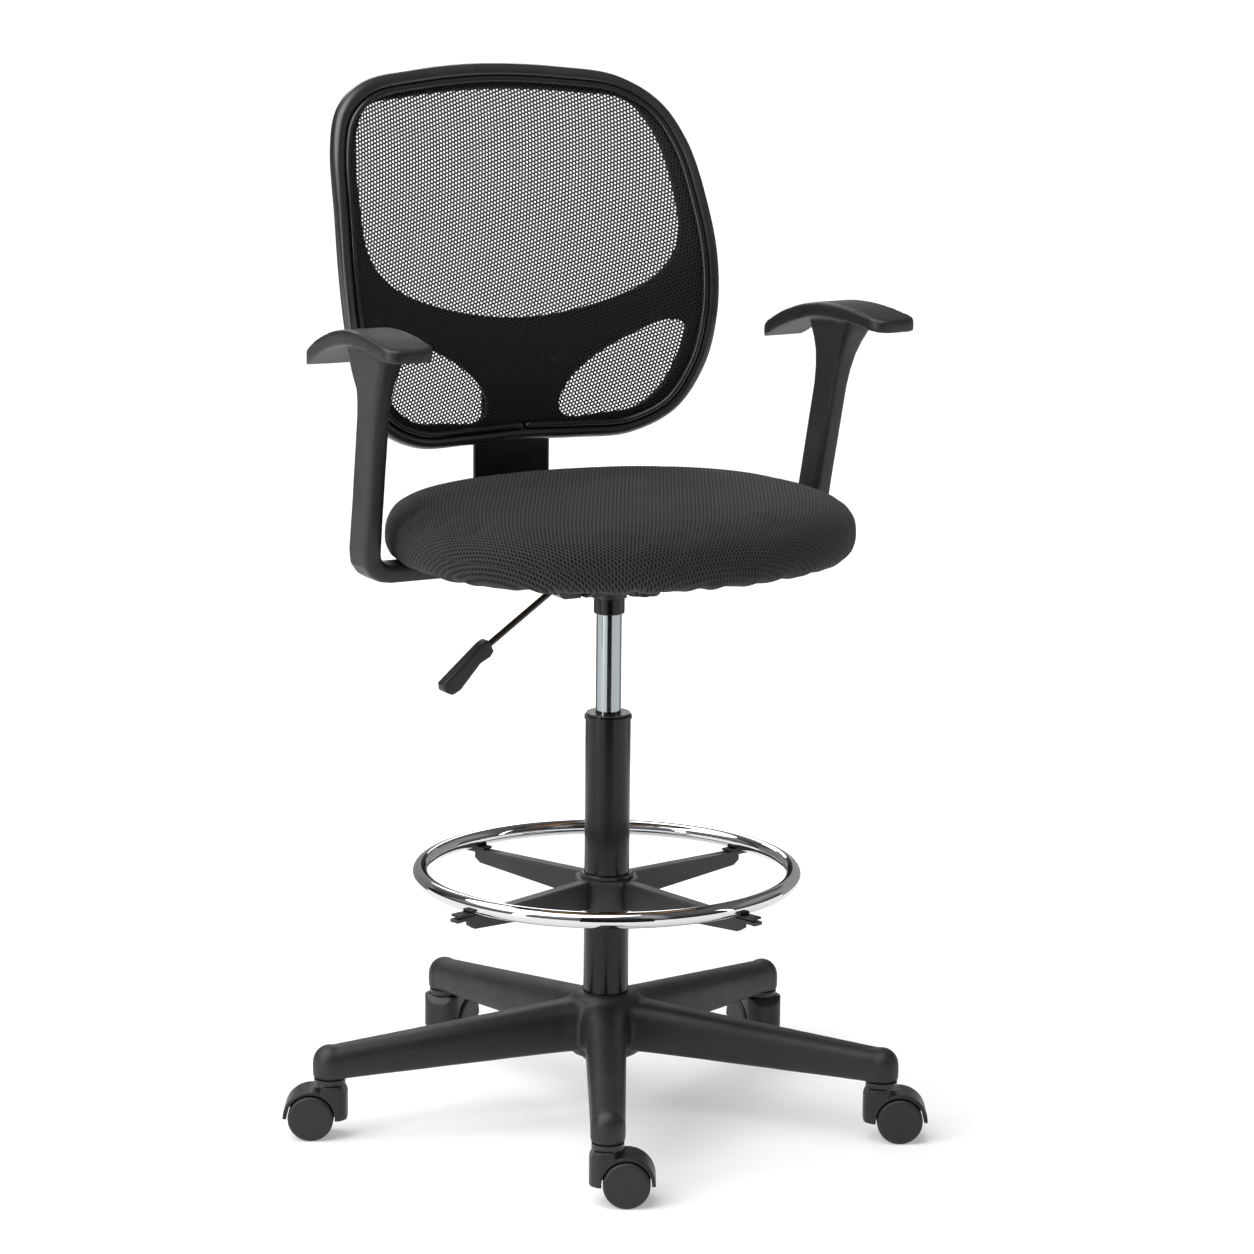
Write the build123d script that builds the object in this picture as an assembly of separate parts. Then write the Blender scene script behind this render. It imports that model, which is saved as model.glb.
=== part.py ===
from build123d import *
import math
import os

# Drafting chair: five-star base on twin-wheel casters, gas column with foot ring,
# padded mesh seat on a sprung tilt mechanism, two fixed T-arms and a curved mesh back.
# Frame: origin on the column axis at the floor, +Z up, the sitter faces -Y,
# so the sitter's right hand is on the -X side. Millimetres.

# ---- driving dimensions (mm, degrees) ----
# base and casters
LEG_COUNT = 5
FRONT_LEG_DEG = -118.9
STEM_CIRCLE_R = 317
WHEEL_R = 25
WHEEL_WIDTH = 16.5
WHEEL_INNER_X = 7.4
AXLE_R = 3
STEM_R = 5.5
CASTER_TRAIL = 20
CASTER_TRAIL_DEG = [-29.7, -29.7, 85.0, 36.0, 150.3]
HOOD_TOP_Z = 60
HOOD_HALF_WIDTH = 21.5
LEG_TIP_BOTTOM_Z = 66
LEG_TIP_TOP_Z = 101
LEG_ROOT_BOTTOM_Z = 76
LEG_ROOT_TOP_Z = 134
LEG_ROOT_WIDTH = 47
LEG_TIP_WIDTH = 37
DOME_R = 18.5
HUB_R = 41
HUB_TOP_Z = 139
# column
TUBE_R = 25
TUBE_WALL = 2
TUBE_BOTTOM_Z = 62
TUBE_TOP_Z = 453
CYLINDER_R = 14
CYLINDER_BOTTOM_Z = 200
CYLINDER_TOP_Z = 606
TAPER_START_Z = 583
ROD_R = 5
PISTON_TOP_Z = 345
COLLAR_R = 17
COLLAR_BOTTOM_Z = 566
RUN_CLEARANCE = 0.05
# foot ring
RING_R = 206
RING_TUBE_R = 9
RING_Z = 274.6
SPIDER_TOP_Z = 270
SPIDER_BOTTOM_Z = 236
SPOKE_DEG = [15.4, 105.4, 195.4, 285.4]
# M6 bolts
BOLT_R = 3
BOLT_HOLE_R = 3.05
BOLT_HEAD_R = 6
BOLT_HEAD_T = 4
# mechanism
PLATE_TOP_Z = 636
PLATE_T = 3
BOX_HALF_WIDTH = 41.5
WALL = 3
TILT_Y = -35
TILT_Z = 614
SPRING_Y = -72
WEB_TOP_Z = 629.5
LEVER_PIVOT_X = -55
LEVER_PIVOT_Z = 607.5
LEVER_ROD_R = 3.5
# seat
SEAT_HALF_X = 261
SEAT_HALF_Y = 231
SEAT_Y = -24
SEAT_TOP_Z = 702
SEAT_WAIST_Z = 666
BOARD_T = 12
BOARD_HALF_X = 200
BOARD_HALF_Y = 172
# arms
ARM_X = 282.6
ARM_Y = 15.5
ARM_REF_Z = 750
ARM_SPLAY = 0.033
ARM_LEAN = -0.201
ARM_DEPTH = 43
ARM_BAR_Z = 626.3
ARM_BAR_T = 19
ARM_BAR_Y = 38
KNEE_R = 24
KNEE_TOP_Z = 652
PAD_WIDTH = 57
# back
LUMBAR_Y = 193
LUMBAR_Z = 836
LUMBAR_RISE = 882
SIDE_WRAP = 2165
BACK_TOP_Z = 1145.5
BACK_BOTTOM_Z = 729
RIM_WIDTH = 14
BRACKET_HALF_X = 48
BRACKET_T = 5
BRACKET_Y = 228
BRACKET_TOP_Z = 828

os.makedirs("parts", exist_ok=True)


def tube(r_out, r_in, z0, z1):
    """A ring or sleeve standing on z0."""
    h = z1 - z0
    outer = Cylinder(r_out, h, align=(Align.CENTER, Align.CENTER, Align.MIN))
    inner = Cylinder(r_in, h + 2, align=(Align.CENTER, Align.CENTER, Align.MIN))
    return Pos(0, 0, z0) * outer - Pos(0, 0, z0 - 1) * inner


def rod(r, z0, z1, x=0, y=0):
    """A vertical round bar from z0 to z1."""
    bar = Cylinder(r, z1 - z0, align=(Align.CENTER, Align.CENTER, Align.MIN))
    return Pos(x, y, z0) * bar


def bar_x(r, x0, x1, y, z):
    """A round bar along X."""
    bar = Cylinder(r, x1 - x0, align=(Align.CENTER, Align.CENTER, Align.MIN))
    return Pos(x0, y, z) * Rot(0, 90, 0) * bar


def bar_y(r, y0, y1, x, z):
    """A round bar along Y."""
    bar = Cylinder(r, y1 - y0, align=(Align.CENTER, Align.CENTER, Align.MAX))
    return Pos(x, y0, z) * Rot(90, 0, 0) * bar


def block(x0, x1, y0, y1, z0, z1):
    """A box given by its two corners."""
    box = Box(x1 - x0, y1 - y0, z1 - z0, align=(Align.MIN, Align.MIN, Align.MIN))
    return Pos(x0, y0, z0) * box


def polar(radius, deg):
    """X and Y of a point at a radius and an angle from +X."""
    a = math.radians(deg)
    return radius * math.cos(a), radius * math.sin(a)


def leg_angles():
    return [FRONT_LEG_DEG + k * 360 / LEG_COUNT for k in range(LEG_COUNT)]


def yz_prism(points, x0, x1):
    """A flat outline in Y and Z, extruded from x0 to x1."""
    outline = Polyline(*[(x0, y, z) for y, z in points], close=True)
    return extrude(make_face(outline), amount=x1 - x0, dir=(1, 0, 0))


def group(solids):
    """Several separate solids in one node."""
    return Compound(children=list(solids))


# ---- base ----
def leg_section(x, width, z0, z1):
    plane = Plane(origin=(x, 0, (z0 + z1) / 2), x_dir=(0, 1, 0), z_dir=(1, 0, 0))
    return plane * RectangleRounded(width, z1 - z0, min(width, z1 - z0) * 0.32)


def leg():
    """One tapering leg along +X with the dome over its caster socket."""
    root_x = 22
    tip_x = STEM_CIRCLE_R - 8
    sections = [
        leg_section(root_x, LEG_ROOT_WIDTH, LEG_ROOT_BOTTOM_Z, LEG_ROOT_TOP_Z),
        leg_section(tip_x, LEG_TIP_WIDTH, LEG_TIP_BOTTOM_Z, LEG_TIP_TOP_Z),
    ]
    beam = loft(sections)
    dome_z = LEG_TIP_TOP_Z + 3 - DOME_R
    socket = rod(DOME_R, LEG_TIP_BOTTOM_Z, dome_z, STEM_CIRCLE_R)
    dome = Pos(STEM_CIRCLE_R, 0, dome_z) * Sphere(DOME_R)
    return beam + socket + dome


def five_star_base():
    body = rod(HUB_R, LEG_ROOT_BOTTOM_Z - 8, HUB_TOP_Z)
    body = fillet(body.edges().group_by(Axis.Z)[-1], 9)
    for deg in leg_angles():
        body += Rot(0, 0, deg) * leg()
    body -= rod(TUBE_R + RUN_CLEARANCE, 40, 160)
    for deg in leg_angles():
        x, y = polar(STEM_CIRCLE_R, deg)
        body -= rod(STEM_R + RUN_CLEARANCE, LEG_TIP_BOTTOM_Z - 1, 96, x, y)
    return body


def column_outer_tube():
    body = tube(TUBE_R, TUBE_R - TUBE_WALL, TUBE_BOTTOM_Z, TUBE_TOP_Z)
    rim = tube(TUBE_R + 1.2, TUBE_R - TUBE_WALL, TUBE_TOP_Z - 5, TUBE_TOP_Z)
    rim = fillet(rim.edges().filter_by(GeomType.CIRCLE).group_by(SortBy.RADIUS)[-1], 1)
    return body + rim


def tube_guide_bush():
    sleeve = tube(TUBE_R - TUBE_WALL, CYLINDER_R + RUN_CLEARANCE, 360, TUBE_TOP_Z)
    lip = tube(TUBE_R - 1, CYLINDER_R + RUN_CLEARANCE, TUBE_TOP_Z, TUBE_TOP_Z + 2.5)
    return sleeve + lip


def column_foot_plate():
    return tube(TUBE_R - TUBE_WALL, ROD_R + RUN_CLEARANCE, TUBE_BOTTOM_Z, TUBE_BOTTOM_Z + 4)


def thrust_bearing():
    """Two washers and the ring of balls between them."""
    z0 = TUBE_BOTTOM_Z + 4
    washers = [tube(14, ROD_R + RUN_CLEARANCE, z0, z0 + 1.2)]
    washers.append(tube(14, ROD_R + RUN_CLEARANCE, z0 + 4.8, z0 + 6))
    balls = []
    for k in range(9):
        x, y = polar(10, k * 40)
        balls.append(Pos(x, y, z0 + 3) * Sphere(1.78))
    return group(washers + balls)


def caster_stems():
    stems = []
    for deg in leg_angles():
        x, y = polar(STEM_CIRCLE_R, deg)
        pin = rod(STEM_R, 38, 94, x, y)
        stems.append(chamfer(pin.edges().group_by(Axis.Z)[-1], 1.2))
    return group(stems)


def caster_collars():
    rings = []
    for deg in leg_angles():
        x, y = polar(STEM_CIRCLE_R, deg)
        rings.append(Pos(x, y, 0) * tube(17.3, STEM_R + RUN_CLEARANCE, HOOD_TOP_Z + 0.4, 66))
    return group(rings)


# ---- caster, built with the stem at the origin, the trail along +Y and the axle along X ----
def caster_hood():
    arc_r = 30.5
    wheel_clear_r = 26.3
    yc = CASTER_TRAIL
    zc = WHEEL_R
    front_y = -19.5
    top_y = 6
    join_z = zc + math.sqrt(arc_r ** 2 - (yc - top_y) ** 2)
    side = [(front_y, zc - 3), (front_y, HOOD_TOP_Z - 9), (front_y + 6, HOOD_TOP_Z)]
    side += [(top_y, HOOD_TOP_Z), (top_y + 3, join_z)]
    outer = yz_prism(side + [(yc, zc + arc_r - 1), (yc, zc - 3)], -HOOD_HALF_WIDTH, HOOD_HALF_WIDTH)
    arch = bar_x(arc_r, -HOOD_HALF_WIDTH, HOOD_HALF_WIDTH, yc, zc)
    arch -= block(-40, 40, -60, 80, -20, zc - 1)
    shell = outer + arch
    corner_edges = shell.edges().filter_by(Axis.Z).group_by(Axis.Y)[0]
    shell = fillet(corner_edges, 15)
    shell -= bar_x(wheel_clear_r, -40, 40, yc, zc)
    spine = bar_x(9, -6.9, 6.9, yc, zc)
    web = [(-5, zc + 2), (-5, 52), (yc, 52), (yc + 8, zc + 12), (yc + 8, zc), (yc, zc - 8)]
    spine += yz_prism(web, -6.9, 6.9)
    shell += spine
    shell -= rod(STEM_R + RUN_CLEARANCE, 37, 70)
    shell -= bar_x(AXLE_R + 0.02, -10, 10, yc, zc)
    return shell


def caster_axle():
    reach = WHEEL_INNER_X + WHEEL_WIDTH - 4
    return bar_x(AXLE_R, -reach, reach, CASTER_TRAIL, WHEEL_R)


def caster_wheel(side):
    """A moulded wheel with a soft tread edge and a shallow dished face."""
    inner = WHEEL_INNER_X
    outer = WHEEL_INNER_X + WHEEL_WIDTH
    disc = bar_x(WHEEL_R, inner, outer, CASTER_TRAIL, WHEEL_R)
    rims = disc.edges().filter_by(GeomType.CIRCLE)
    disc = fillet(rims.group_by(Axis.X)[-1], 3.5)
    disc = fillet(disc.edges().filter_by(GeomType.CIRCLE).group_by(Axis.X)[0], 1.5)
    disc -= bar_x(20, inner - 1, inner + 5, CASTER_TRAIL, WHEEL_R)
    disc += bar_x(7, inner + 0.3, inner + 6, CASTER_TRAIL, WHEEL_R)
    disc -= bar_x(AXLE_R + RUN_CLEARANCE, inner - 1, outer - 3.5, CASTER_TRAIL, WHEEL_R)
    return disc if side > 0 else mirror(disc, about=Plane.YZ)


def at_caster(k, shape):
    """Place a caster piece at leg k with its own swivel angle."""
    x, y = polar(STEM_CIRCLE_R, leg_angles()[k])
    return Pos(x, y, 0) * Rot(0, 0, CASTER_TRAIL_DEG[k] - 90) * shape


# ---- column inner parts ----
def piston_rod():
    """Rod fixed at the column's foot, with the piston inside the gas cylinder."""
    shaft = rod(ROD_R, 55, PISTON_TOP_Z)
    shoulder = rod(8, TUBE_BOTTOM_Z + 10.05, TUBE_BOTTOM_Z + 14)
    piston = rod(CYLINDER_R - 2 - RUN_CLEARANCE, PISTON_TOP_Z - 20, PISTON_TOP_Z)
    return shaft + shoulder + piston - tube(9, ROD_R - 1, 58, 60)


def rod_clip():
    """Flat spring clip in the groove at the rod's foot."""
    ring = tube(9, ROD_R - 1, 58, 60)
    return ring - block(0, 12, -2, 2, 57, 61)


def gas_cylinder():
    wall = CYLINDER_R - 2
    barrel = rod(CYLINDER_R, CYLINDER_BOTTOM_Z, TAPER_START_Z)
    taper = Cone(CYLINDER_R, CYLINDER_R - 1, CYLINDER_TOP_Z - TAPER_START_Z,
                 align=(Align.CENTER, Align.CENTER, Align.MIN))
    body = barrel + Pos(0, 0, TAPER_START_Z) * taper
    body -= rod(wall, CYLINDER_BOTTOM_Z - 1, 560)
    return body - rod(4 + RUN_CLEARANCE, CYLINDER_TOP_Z - 11, CYLINDER_TOP_Z + 1)


def rod_guide_seal():
    return tube(CYLINDER_R - 2, ROD_R + RUN_CLEARANCE, CYLINDER_BOTTOM_Z, CYLINDER_BOTTOM_Z + 12)


def valve_button():
    pin = rod(4, CYLINDER_TOP_Z - 6, CYLINDER_TOP_Z + 4)
    return chamfer(pin.edges().group_by(Axis.Z)[-1], 0.8)


def column_collar():
    body = tube(COLLAR_R, CYLINDER_R + RUN_CLEARANCE, COLLAR_BOTTOM_Z, TAPER_START_Z)
    return chamfer(body.edges().group_by(Axis.Z)[0].sort_by(SortBy.RADIUS)[-1], 1)


# ---- foot ring ----
def foot_ring():
    return Pos(0, 0, RING_Z) * Torus(RING_R, RING_TUBE_R)


def spoke():
    """One ribbed spoke along +X: flat top, deep web that tapers to a rounded end."""
    end = RING_R + 4
    top_end = 262
    web_points = [(24, SPIDER_TOP_Z - 2), (end, top_end - 2), (end, top_end - 10)]
    web_points += [(end - 8, top_end - 15), (70, SPIDER_BOTTOM_Z + 4), (24, SPIDER_BOTTOM_Z)]
    web = Polyline(*[(x, -3, z) for x, z in web_points], close=True)
    spoke_body = extrude(make_face(web), amount=6, dir=(0, 1, 0))
    flange = [(24, SPIDER_TOP_Z), (end + 20, top_end), (end + 20, top_end - 3.5)]
    flange += [(24, SPIDER_TOP_Z - 4)]
    top = Polyline(*[(x, -6, z) for x, z in flange], close=True)
    return spoke_body + extrude(make_face(top), amount=12, dir=(0, 1, 0))


def ring_spider():
    body = rod(31, SPIDER_BOTTOM_Z, SPIDER_TOP_Z)
    plate = extrude(RegularPolygon(36, 8), amount=5)
    body += Pos(0, 0, SPIDER_TOP_Z - 5) * plate
    for deg in SPOKE_DEG:
        body += Rot(0, 0, deg) * spoke()
        x, y = polar(RING_R + 16, deg)
        body -= rod(2.05, 250, 275, x, y)
    return body - rod(TUBE_R + 0.08, 230, 290)


def ring_lock_collar():
    body = tube(29, TUBE_R + 0.08, SPIDER_TOP_Z, SPIDER_TOP_Z + 5)
    return fillet(body.edges().group_by(Axis.Z)[-1].sort_by(SortBy.RADIUS)[-1], 1.5)


def ring_clips():
    """Saddles that seat the ring on the spoke ends."""
    saddle = block(RING_R - 14, RING_R + 22, -7, 7, 264, 270)
    saddle -= foot_ring()
    saddle -= rod(2.05, 250, 280, RING_R + 16)
    parts = [Rot(0, 0, deg) * piece for deg in SPOKE_DEG for piece in saddle.solids()]
    return group(parts)


def ring_screws():
    screws = []
    for deg in SPOKE_DEG:
        x, y = polar(RING_R + 16, deg)
        screws.append(rod(2, 255, 268, x, y) + rod(4, 252.5, 255.2, x, y))
    return group(screws)


# ---- tilt mechanism ----
def mechanism_box():
    """Pressed lower box: side walls, front spring web, floor and the cone socket."""
    rise = [(-112, 615), (-112, WEB_TOP_Z), (-48, WEB_TOP_Z), (-18, 622), (36, 611)]
    drop = [(36, 590), (-22, 590), (-48, 602), (-60, 615)]
    walls = yz_prism(rise + drop, -BOX_HALF_WIDTH, BOX_HALF_WIDTH)
    inner_x = BOX_HALF_WIDTH - WALL
    cavity = block(-inner_x, inner_x, -109, 60, 580, 640)
    web = block(-inner_x, inner_x, -109, -50, WEB_TOP_Z - WALL, WEB_TOP_Z)
    floor = block(-inner_x, inner_x, -22, 36, 590, 593)
    body = walls - cavity + web + floor
    body += rod(19.5, 584, 604)
    bore = Cone(CYLINDER_R + 0.02, CYLINDER_R - 0.98, CYLINDER_TOP_Z - TAPER_START_Z,
                align=(Align.CENTER, Align.CENTER, Align.MIN))
    body -= Pos(0, 0, TAPER_START_Z) * bore
    body -= rod(8, 620, 640, 0, SPRING_Y)
    body -= block(-BOX_HALF_WIDTH - 1, -inner_x + 1, -5, 5, 606, 640)
    return body - bar_x(5 + 0.01, -60, 60, TILT_Y, TILT_Z)


def tilt_axle():
    pin = bar_x(5, -47, 47, TILT_Y, TILT_Z)
    head = bar_x(7.5, 46, 49, TILT_Y, TILT_Z)
    clip = bar_x(7, -49, -47, TILT_Y, TILT_Z)
    return pin + head + clip


def lever_pivot_block():
    """Slotted nylon block on the side wall that carries the lever."""
    x0 = LEVER_PIVOT_X - 13
    body = block(x0, -BOX_HALF_WIDTH, -11, 11, 588, 620)
    body = fillet(body.edges().filter_by(Axis.Y).group_by(Axis.X)[0], 8)
    body -= block(x0 - 1, -BOX_HALF_WIDTH + 1, -4, 4, 592, 640)
    return body - bar_y(2.5 + 0.01, -20, 20, LEVER_PIVOT_X, LEVER_PIVOT_Z)


def lever_pivot_pin():
    return bar_y(2.5, -11.5, 11.5, LEVER_PIVOT_X, LEVER_PIVOT_Z)


def release_lever_rod():
    """Bent round bar: it presses the valve and passes out to the paddle."""
    route = FilletPolyline((3, 0, 613.9), (-43, 0, 613.9), (-61, 0, 604), (-168, 0, 531.2), radius=12)
    section = Plane(origin=route @ 0, z_dir=route % 0) * Circle(LEVER_ROD_R)
    body = sweep(section, path=route)
    body += bar_y(6, -3.6, 3.6, LEVER_PIVOT_X, LEVER_PIVOT_Z)
    return body - bar_y(2.5 + RUN_CLEARANCE, -9, 9, LEVER_PIVOT_X, LEVER_PIVOT_Z)


def lever_paddle():
    """Moulded paddle along the lever, flat on top with finger notches below."""
    outline = [(-152, 551), (-146, 538), (-150, 532), (-162, 526), (-178, 508), (-186, 499)]
    outline += [(-196, 494), (-206, 499), (-207, 507), (-180, 530), (-160, 547)]
    face = make_face(Polyline(*[(x, -8, z) for x, z in outline], close=True))
    body = extrude(face, amount=16, dir=(0, 1, 0))
    body = fillet(body.edges().filter_by(Axis.Y), 1.2)
    route = Line((-140, 0, 550.2), (-168.2, 0, 531.1))
    hole = Plane(origin=route @ 0, z_dir=route % 0) * Circle(LEVER_ROD_R + 0.03)
    return body - sweep(hole, path=route)


def tilt_plate():
    body = block(-95, 95, -118, 88, PLATE_TOP_Z - PLATE_T, PLATE_TOP_Z)
    ear_in = BOX_HALF_WIDTH + 0.5
    for side in (-1, 1):
        x0 = side * ear_in if side > 0 else -ear_in - WALL
        ear = block(x0, x0 + WALL, TILT_Y - 14, TILT_Y + 14, TILT_Z, PLATE_TOP_Z - 1)
        ear += bar_x(14, x0, x0 + WALL, TILT_Y, TILT_Z)
        body += ear
    body -= bar_x(5 + RUN_CLEARANCE, -60, 60, TILT_Y, TILT_Z)
    body -= rod(4.05, 620, 640, 0, SPRING_Y)
    for x, y in bolt_places():
        body -= rod(BOLT_HOLE_R, 620, 640, x, y)
    return body


def bolt_places():
    return [(x, y) for x in (-76, 76) for y in (-98, 68)]


def seat_bolts():
    bolts = []
    for x, y in bolt_places():
        low = PLATE_TOP_Z - PLATE_T
        head = rod(BOLT_HEAD_R, low - BOLT_HEAD_T, low, x, y)
        bolts.append(head + rod(BOLT_R, low - 1, PLATE_TOP_Z + 10, x, y))
    return group(bolts)


def tension_bolt():
    shaft = rod(4, 602, PLATE_TOP_Z, 0, SPRING_Y)
    return shaft + rod(7, PLATE_TOP_Z - PLATE_T - 2, PLATE_TOP_Z - PLATE_T, 0, SPRING_Y)


def tension_spring():
    """Short heavy spring between the web and the knob, as a plain sleeve."""
    return Pos(0, SPRING_Y, 0) * tube(13, 9, 612, WEB_TOP_Z - WALL - 0.3)


def tension_knob():
    body = rod(19, 599, 611.5, 0, SPRING_Y)
    for k in range(8):
        x, y = polar(22, k * 45)
        body -= rod(5, 590, 620, x, SPRING_Y + y)
    body = fillet(body.edges().group_by(Axis.Z)[0], 1)
    return body - rod(4 + RUN_CLEARANCE, 601, 620, 0, SPRING_Y)


# ---- seat ----
def superellipse(half_x, half_y, z, power=2.25, count=24):
    """Closed smooth outline, fuller at its corners than an ellipse."""
    points = []
    for k in range(count):
        a = 2 * math.pi * k / count
        c = math.cos(a)
        s = math.sin(a)
        r = (abs(c) ** power + abs(s) ** power) ** (-1 / power)
        points.append((half_x * r * c, SEAT_Y + half_y * r * s, z))
    return make_face(Spline(*points, periodic=True))


def seat_cushion():
    """Crowned pad: at each height, how far the outline is drawn in from full size."""
    levels = [(PLATE_TOP_Z + 0.3, 46), (641, 30), (649, 12), (658, 3), (SEAT_WAIST_Z, 0)]
    levels += [(676, 4), (685, 13), (693, 30), (698, 58), (701, 95), (SEAT_TOP_Z, 140)]
    slices = [superellipse(SEAT_HALF_X - inset, SEAT_HALF_Y - inset, z) for z, inset in levels]
    body = loft(slices, ruled=True)
    recess = extrude(superellipse(BOARD_HALF_X, BOARD_HALF_Y, PLATE_TOP_Z - 5), amount=BOARD_T + 5)
    return body - recess


def seat_board():
    body = extrude(superellipse(BOARD_HALF_X - 0.3, BOARD_HALF_Y - 0.3, PLATE_TOP_Z), amount=BOARD_T)
    for x, y in bolt_places() + arm_bolt_places() + bracket_bolt_places():
        body -= rod(BOLT_HOLE_R, 600, PLATE_TOP_Z + 11, x, y)
    return body


# ---- arms ----
def arm_bolt_places():
    return [(side * x, ARM_BAR_Y) for side in (-1, 1) for x in (150, 180)]


def post_centre(z):
    return ARM_X + ARM_SPLAY * (z - ARM_REF_Z), ARM_Y + ARM_LEAN * (z - ARM_REF_Z)


def arm_stations():
    """Places along the arm: X, Y, Z, pitch, thickness, depth."""
    knee_x = post_centre(KNEE_TOP_Z)[0] - KNEE_R
    stations = [(130, ARM_BAR_Y, ARM_BAR_Z, 0, ARM_BAR_T, ARM_DEPTH)]
    stations.append((knee_x, ARM_BAR_Y, ARM_BAR_Z, 0, ARM_BAR_T, ARM_DEPTH))
    for pitch, swell in ((22, 1.5), (44, 3), (66, 3)):
        a = math.radians(pitch)
        x = knee_x + KNEE_R * math.sin(a)
        z = ARM_BAR_Z + KNEE_R * (1 - math.cos(a))
        stations.append((x, ARM_BAR_Y, z, pitch, ARM_BAR_T + swell, ARM_DEPTH))
    post = [(KNEE_TOP_Z, 21.5, 43), (700, 20.5, 43), (800, 20.5, 44), (820, 21.5, 48)]
    post += [(838, 24, 56), (852, 28, 67), (866, 34, 81)]
    for z, thick, depth in post:
        x, y = post_centre(z)
        stations.append((x, y, z, 88, thick, depth))
    x, y = post_centre(866)
    stations.append((x, y, 881, 90, 38, 92))
    return stations


def arm_left():
    """One moulding on the +X side: foot bar, knee, leaning post and arched pad."""
    sections = []
    for x, y, z, pitch, thick, depth in arm_stations():
        a = math.radians(pitch)
        plane = Plane(origin=(x, y, z), x_dir=(0, 1, 0), z_dir=(math.cos(a), 0, math.sin(a)))
        sections.append(plane * RectangleRounded(depth, thick, thick * 0.3))
    body = loft(sections, ruled=True) + arm_pad()
    for bx, by in arm_bolt_places():
        body -= rod(BOLT_HOLE_R, 600, 650, bx, by)
    return body


def arm_pad():
    """Arched rest: nearly level in front, curling down at the rear."""
    top = Spline((0, -112, 884), (0, -50, 893), (0, 10, 893), (0, 60, 882), (0, 118, 851))
    low = Spline((0, 110, 843), (0, 52, 867), (0, 5, 877), (0, -50, 877), (0, -112, 870))
    tail = Line(top @ 1, low @ 0)
    nose = Line(low @ 1, top @ 0)
    profile = make_face(Wire([top, tail, low, nose]))
    slab = extrude(profile, amount=PAD_WIDTH, dir=(1, 0, 0))
    plan = RectangleRounded(PAD_WIDTH, 230, 18)
    cutter = extrude(plan, amount=100)
    slab = slab & (Pos(PAD_WIDTH / 2, 3, 820) * cutter)
    return Pos(291, 0, 0) * Rot(0, 0, 3) * Pos(-PAD_WIDTH / 2, 0, 0) * slab


def arm_bolts():
    bolts = []
    for x, y in arm_bolt_places():
        bar_bottom = ARM_BAR_Z - ARM_BAR_T / 2
        head = rod(BOLT_HEAD_R, bar_bottom - BOLT_HEAD_T, bar_bottom, x, y)
        bolts.append(head + rod(BOLT_R, bar_bottom - 1, PLATE_TOP_Z + 10, x, y))
    return group(bolts)


# ---- back ----
def bracket_bolt_places():
    return [(-26, 108), (26, 108), (0, 140)]


def back_screw_places():
    return [(x, z) for x in (-28, 28) for z in (768, 806)]


def back_bracket():
    """Flat steel strip, bent up behind the seat."""
    mid_z = PLATE_TOP_Z - BRACKET_T / 2
    corner = (0, BRACKET_Y, mid_z)
    path = FilletPolyline((0, 94, mid_z), corner, (0, BRACKET_Y, BRACKET_TOP_Z), radius=34)
    start = Plane(origin=path @ 0, x_dir=(1, 0, 0), z_dir=path % 0)
    section = start * Rectangle(2 * BRACKET_HALF_X, BRACKET_T)
    body = sweep(section, path=path)
    for x, y in bracket_bolt_places():
        body -= rod(BOLT_HOLE_R, 620, 640, x, y)
    for x, z in back_screw_places():
        body -= bar_y(BOLT_HOLE_R, 215, 240, x, z)
    return body


def bracket_bolts():
    bolts = []
    low = PLATE_TOP_Z - BRACKET_T
    for x, y in bracket_bolt_places():
        head = rod(BOLT_HEAD_R, low - BOLT_HEAD_T, low, x, y)
        bolts.append(head + rod(BOLT_R, low - 1, PLATE_TOP_Z + 10, x, y))
    return group(bolts)


def back_screws():
    screws = []
    face_y = BRACKET_Y + BRACKET_T / 2
    for x, z in back_screw_places():
        head = bar_y(BOLT_HEAD_R, face_y, face_y + BOLT_HEAD_T, x, z)
        screws.append(head + bar_y(BOLT_R, 213, face_y + 1, x, z))
    return group(screws)


def back_y(x, z):
    """Depth of the back's surface: bowed at the lumbar line, sides wrapped forward."""
    return LUMBAR_Y + (z - LUMBAR_Z) ** 2 / LUMBAR_RISE - x * x / SIDE_WRAP


def back_slab(front, depth):
    """The back's double-curved sheet, from front to front + depth along Y."""
    heights = [690 + 100 * k for k in range(6)]
    slices = []
    for x in (-270, -135, 0, 135, 270):
        near = Spline(*[(x, back_y(x, z) + front, z) for z in heights])
        far = Pos(0, depth, 0) * near
        cap = Line(near @ 1, far @ 1)
        foot = Line(far @ 0, near @ 0)
        slices.append(make_face(Wire([near, cap, far, foot])))
    return loft(slices)


def smooth_loop(points):
    """A closed smooth outline in X and Z, made of two curves that meet in line."""
    count = len(points)
    half = count // 2

    def tangent(k):
        before = points[k - 1]
        after = points[(k + 1) % count]
        return after[0] - before[0], 0, after[1] - before[1]

    loop = [(x, 0, z) for x, z in points + points[:1]]
    first = Spline(*loop[:half + 1], tangents=(tangent(0), tangent(half)))
    second = Spline(*loop[half:], tangents=(tangent(half), tangent(0)))
    return make_face(Wire([first, second]))


def both_sides(half):
    """Points of a closed outline from its +X half, given top to bottom."""
    return half + [(-x, z) for x, z in reversed(half) if x > 0.01]


def drawn_in(points, inset):
    """The same outline moved inwards, square to its own direction at each point."""
    moved = []
    for k, (x, z) in enumerate(points):
        after = points[(k + 1) % len(points)]
        dx = after[0] - points[k - 1][0]
        dz = after[1] - points[k - 1][1]
        span = math.hypot(dx, dz)
        moved.append((x + inset * dz / span, z - inset * dx / span))
    return moved


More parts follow.
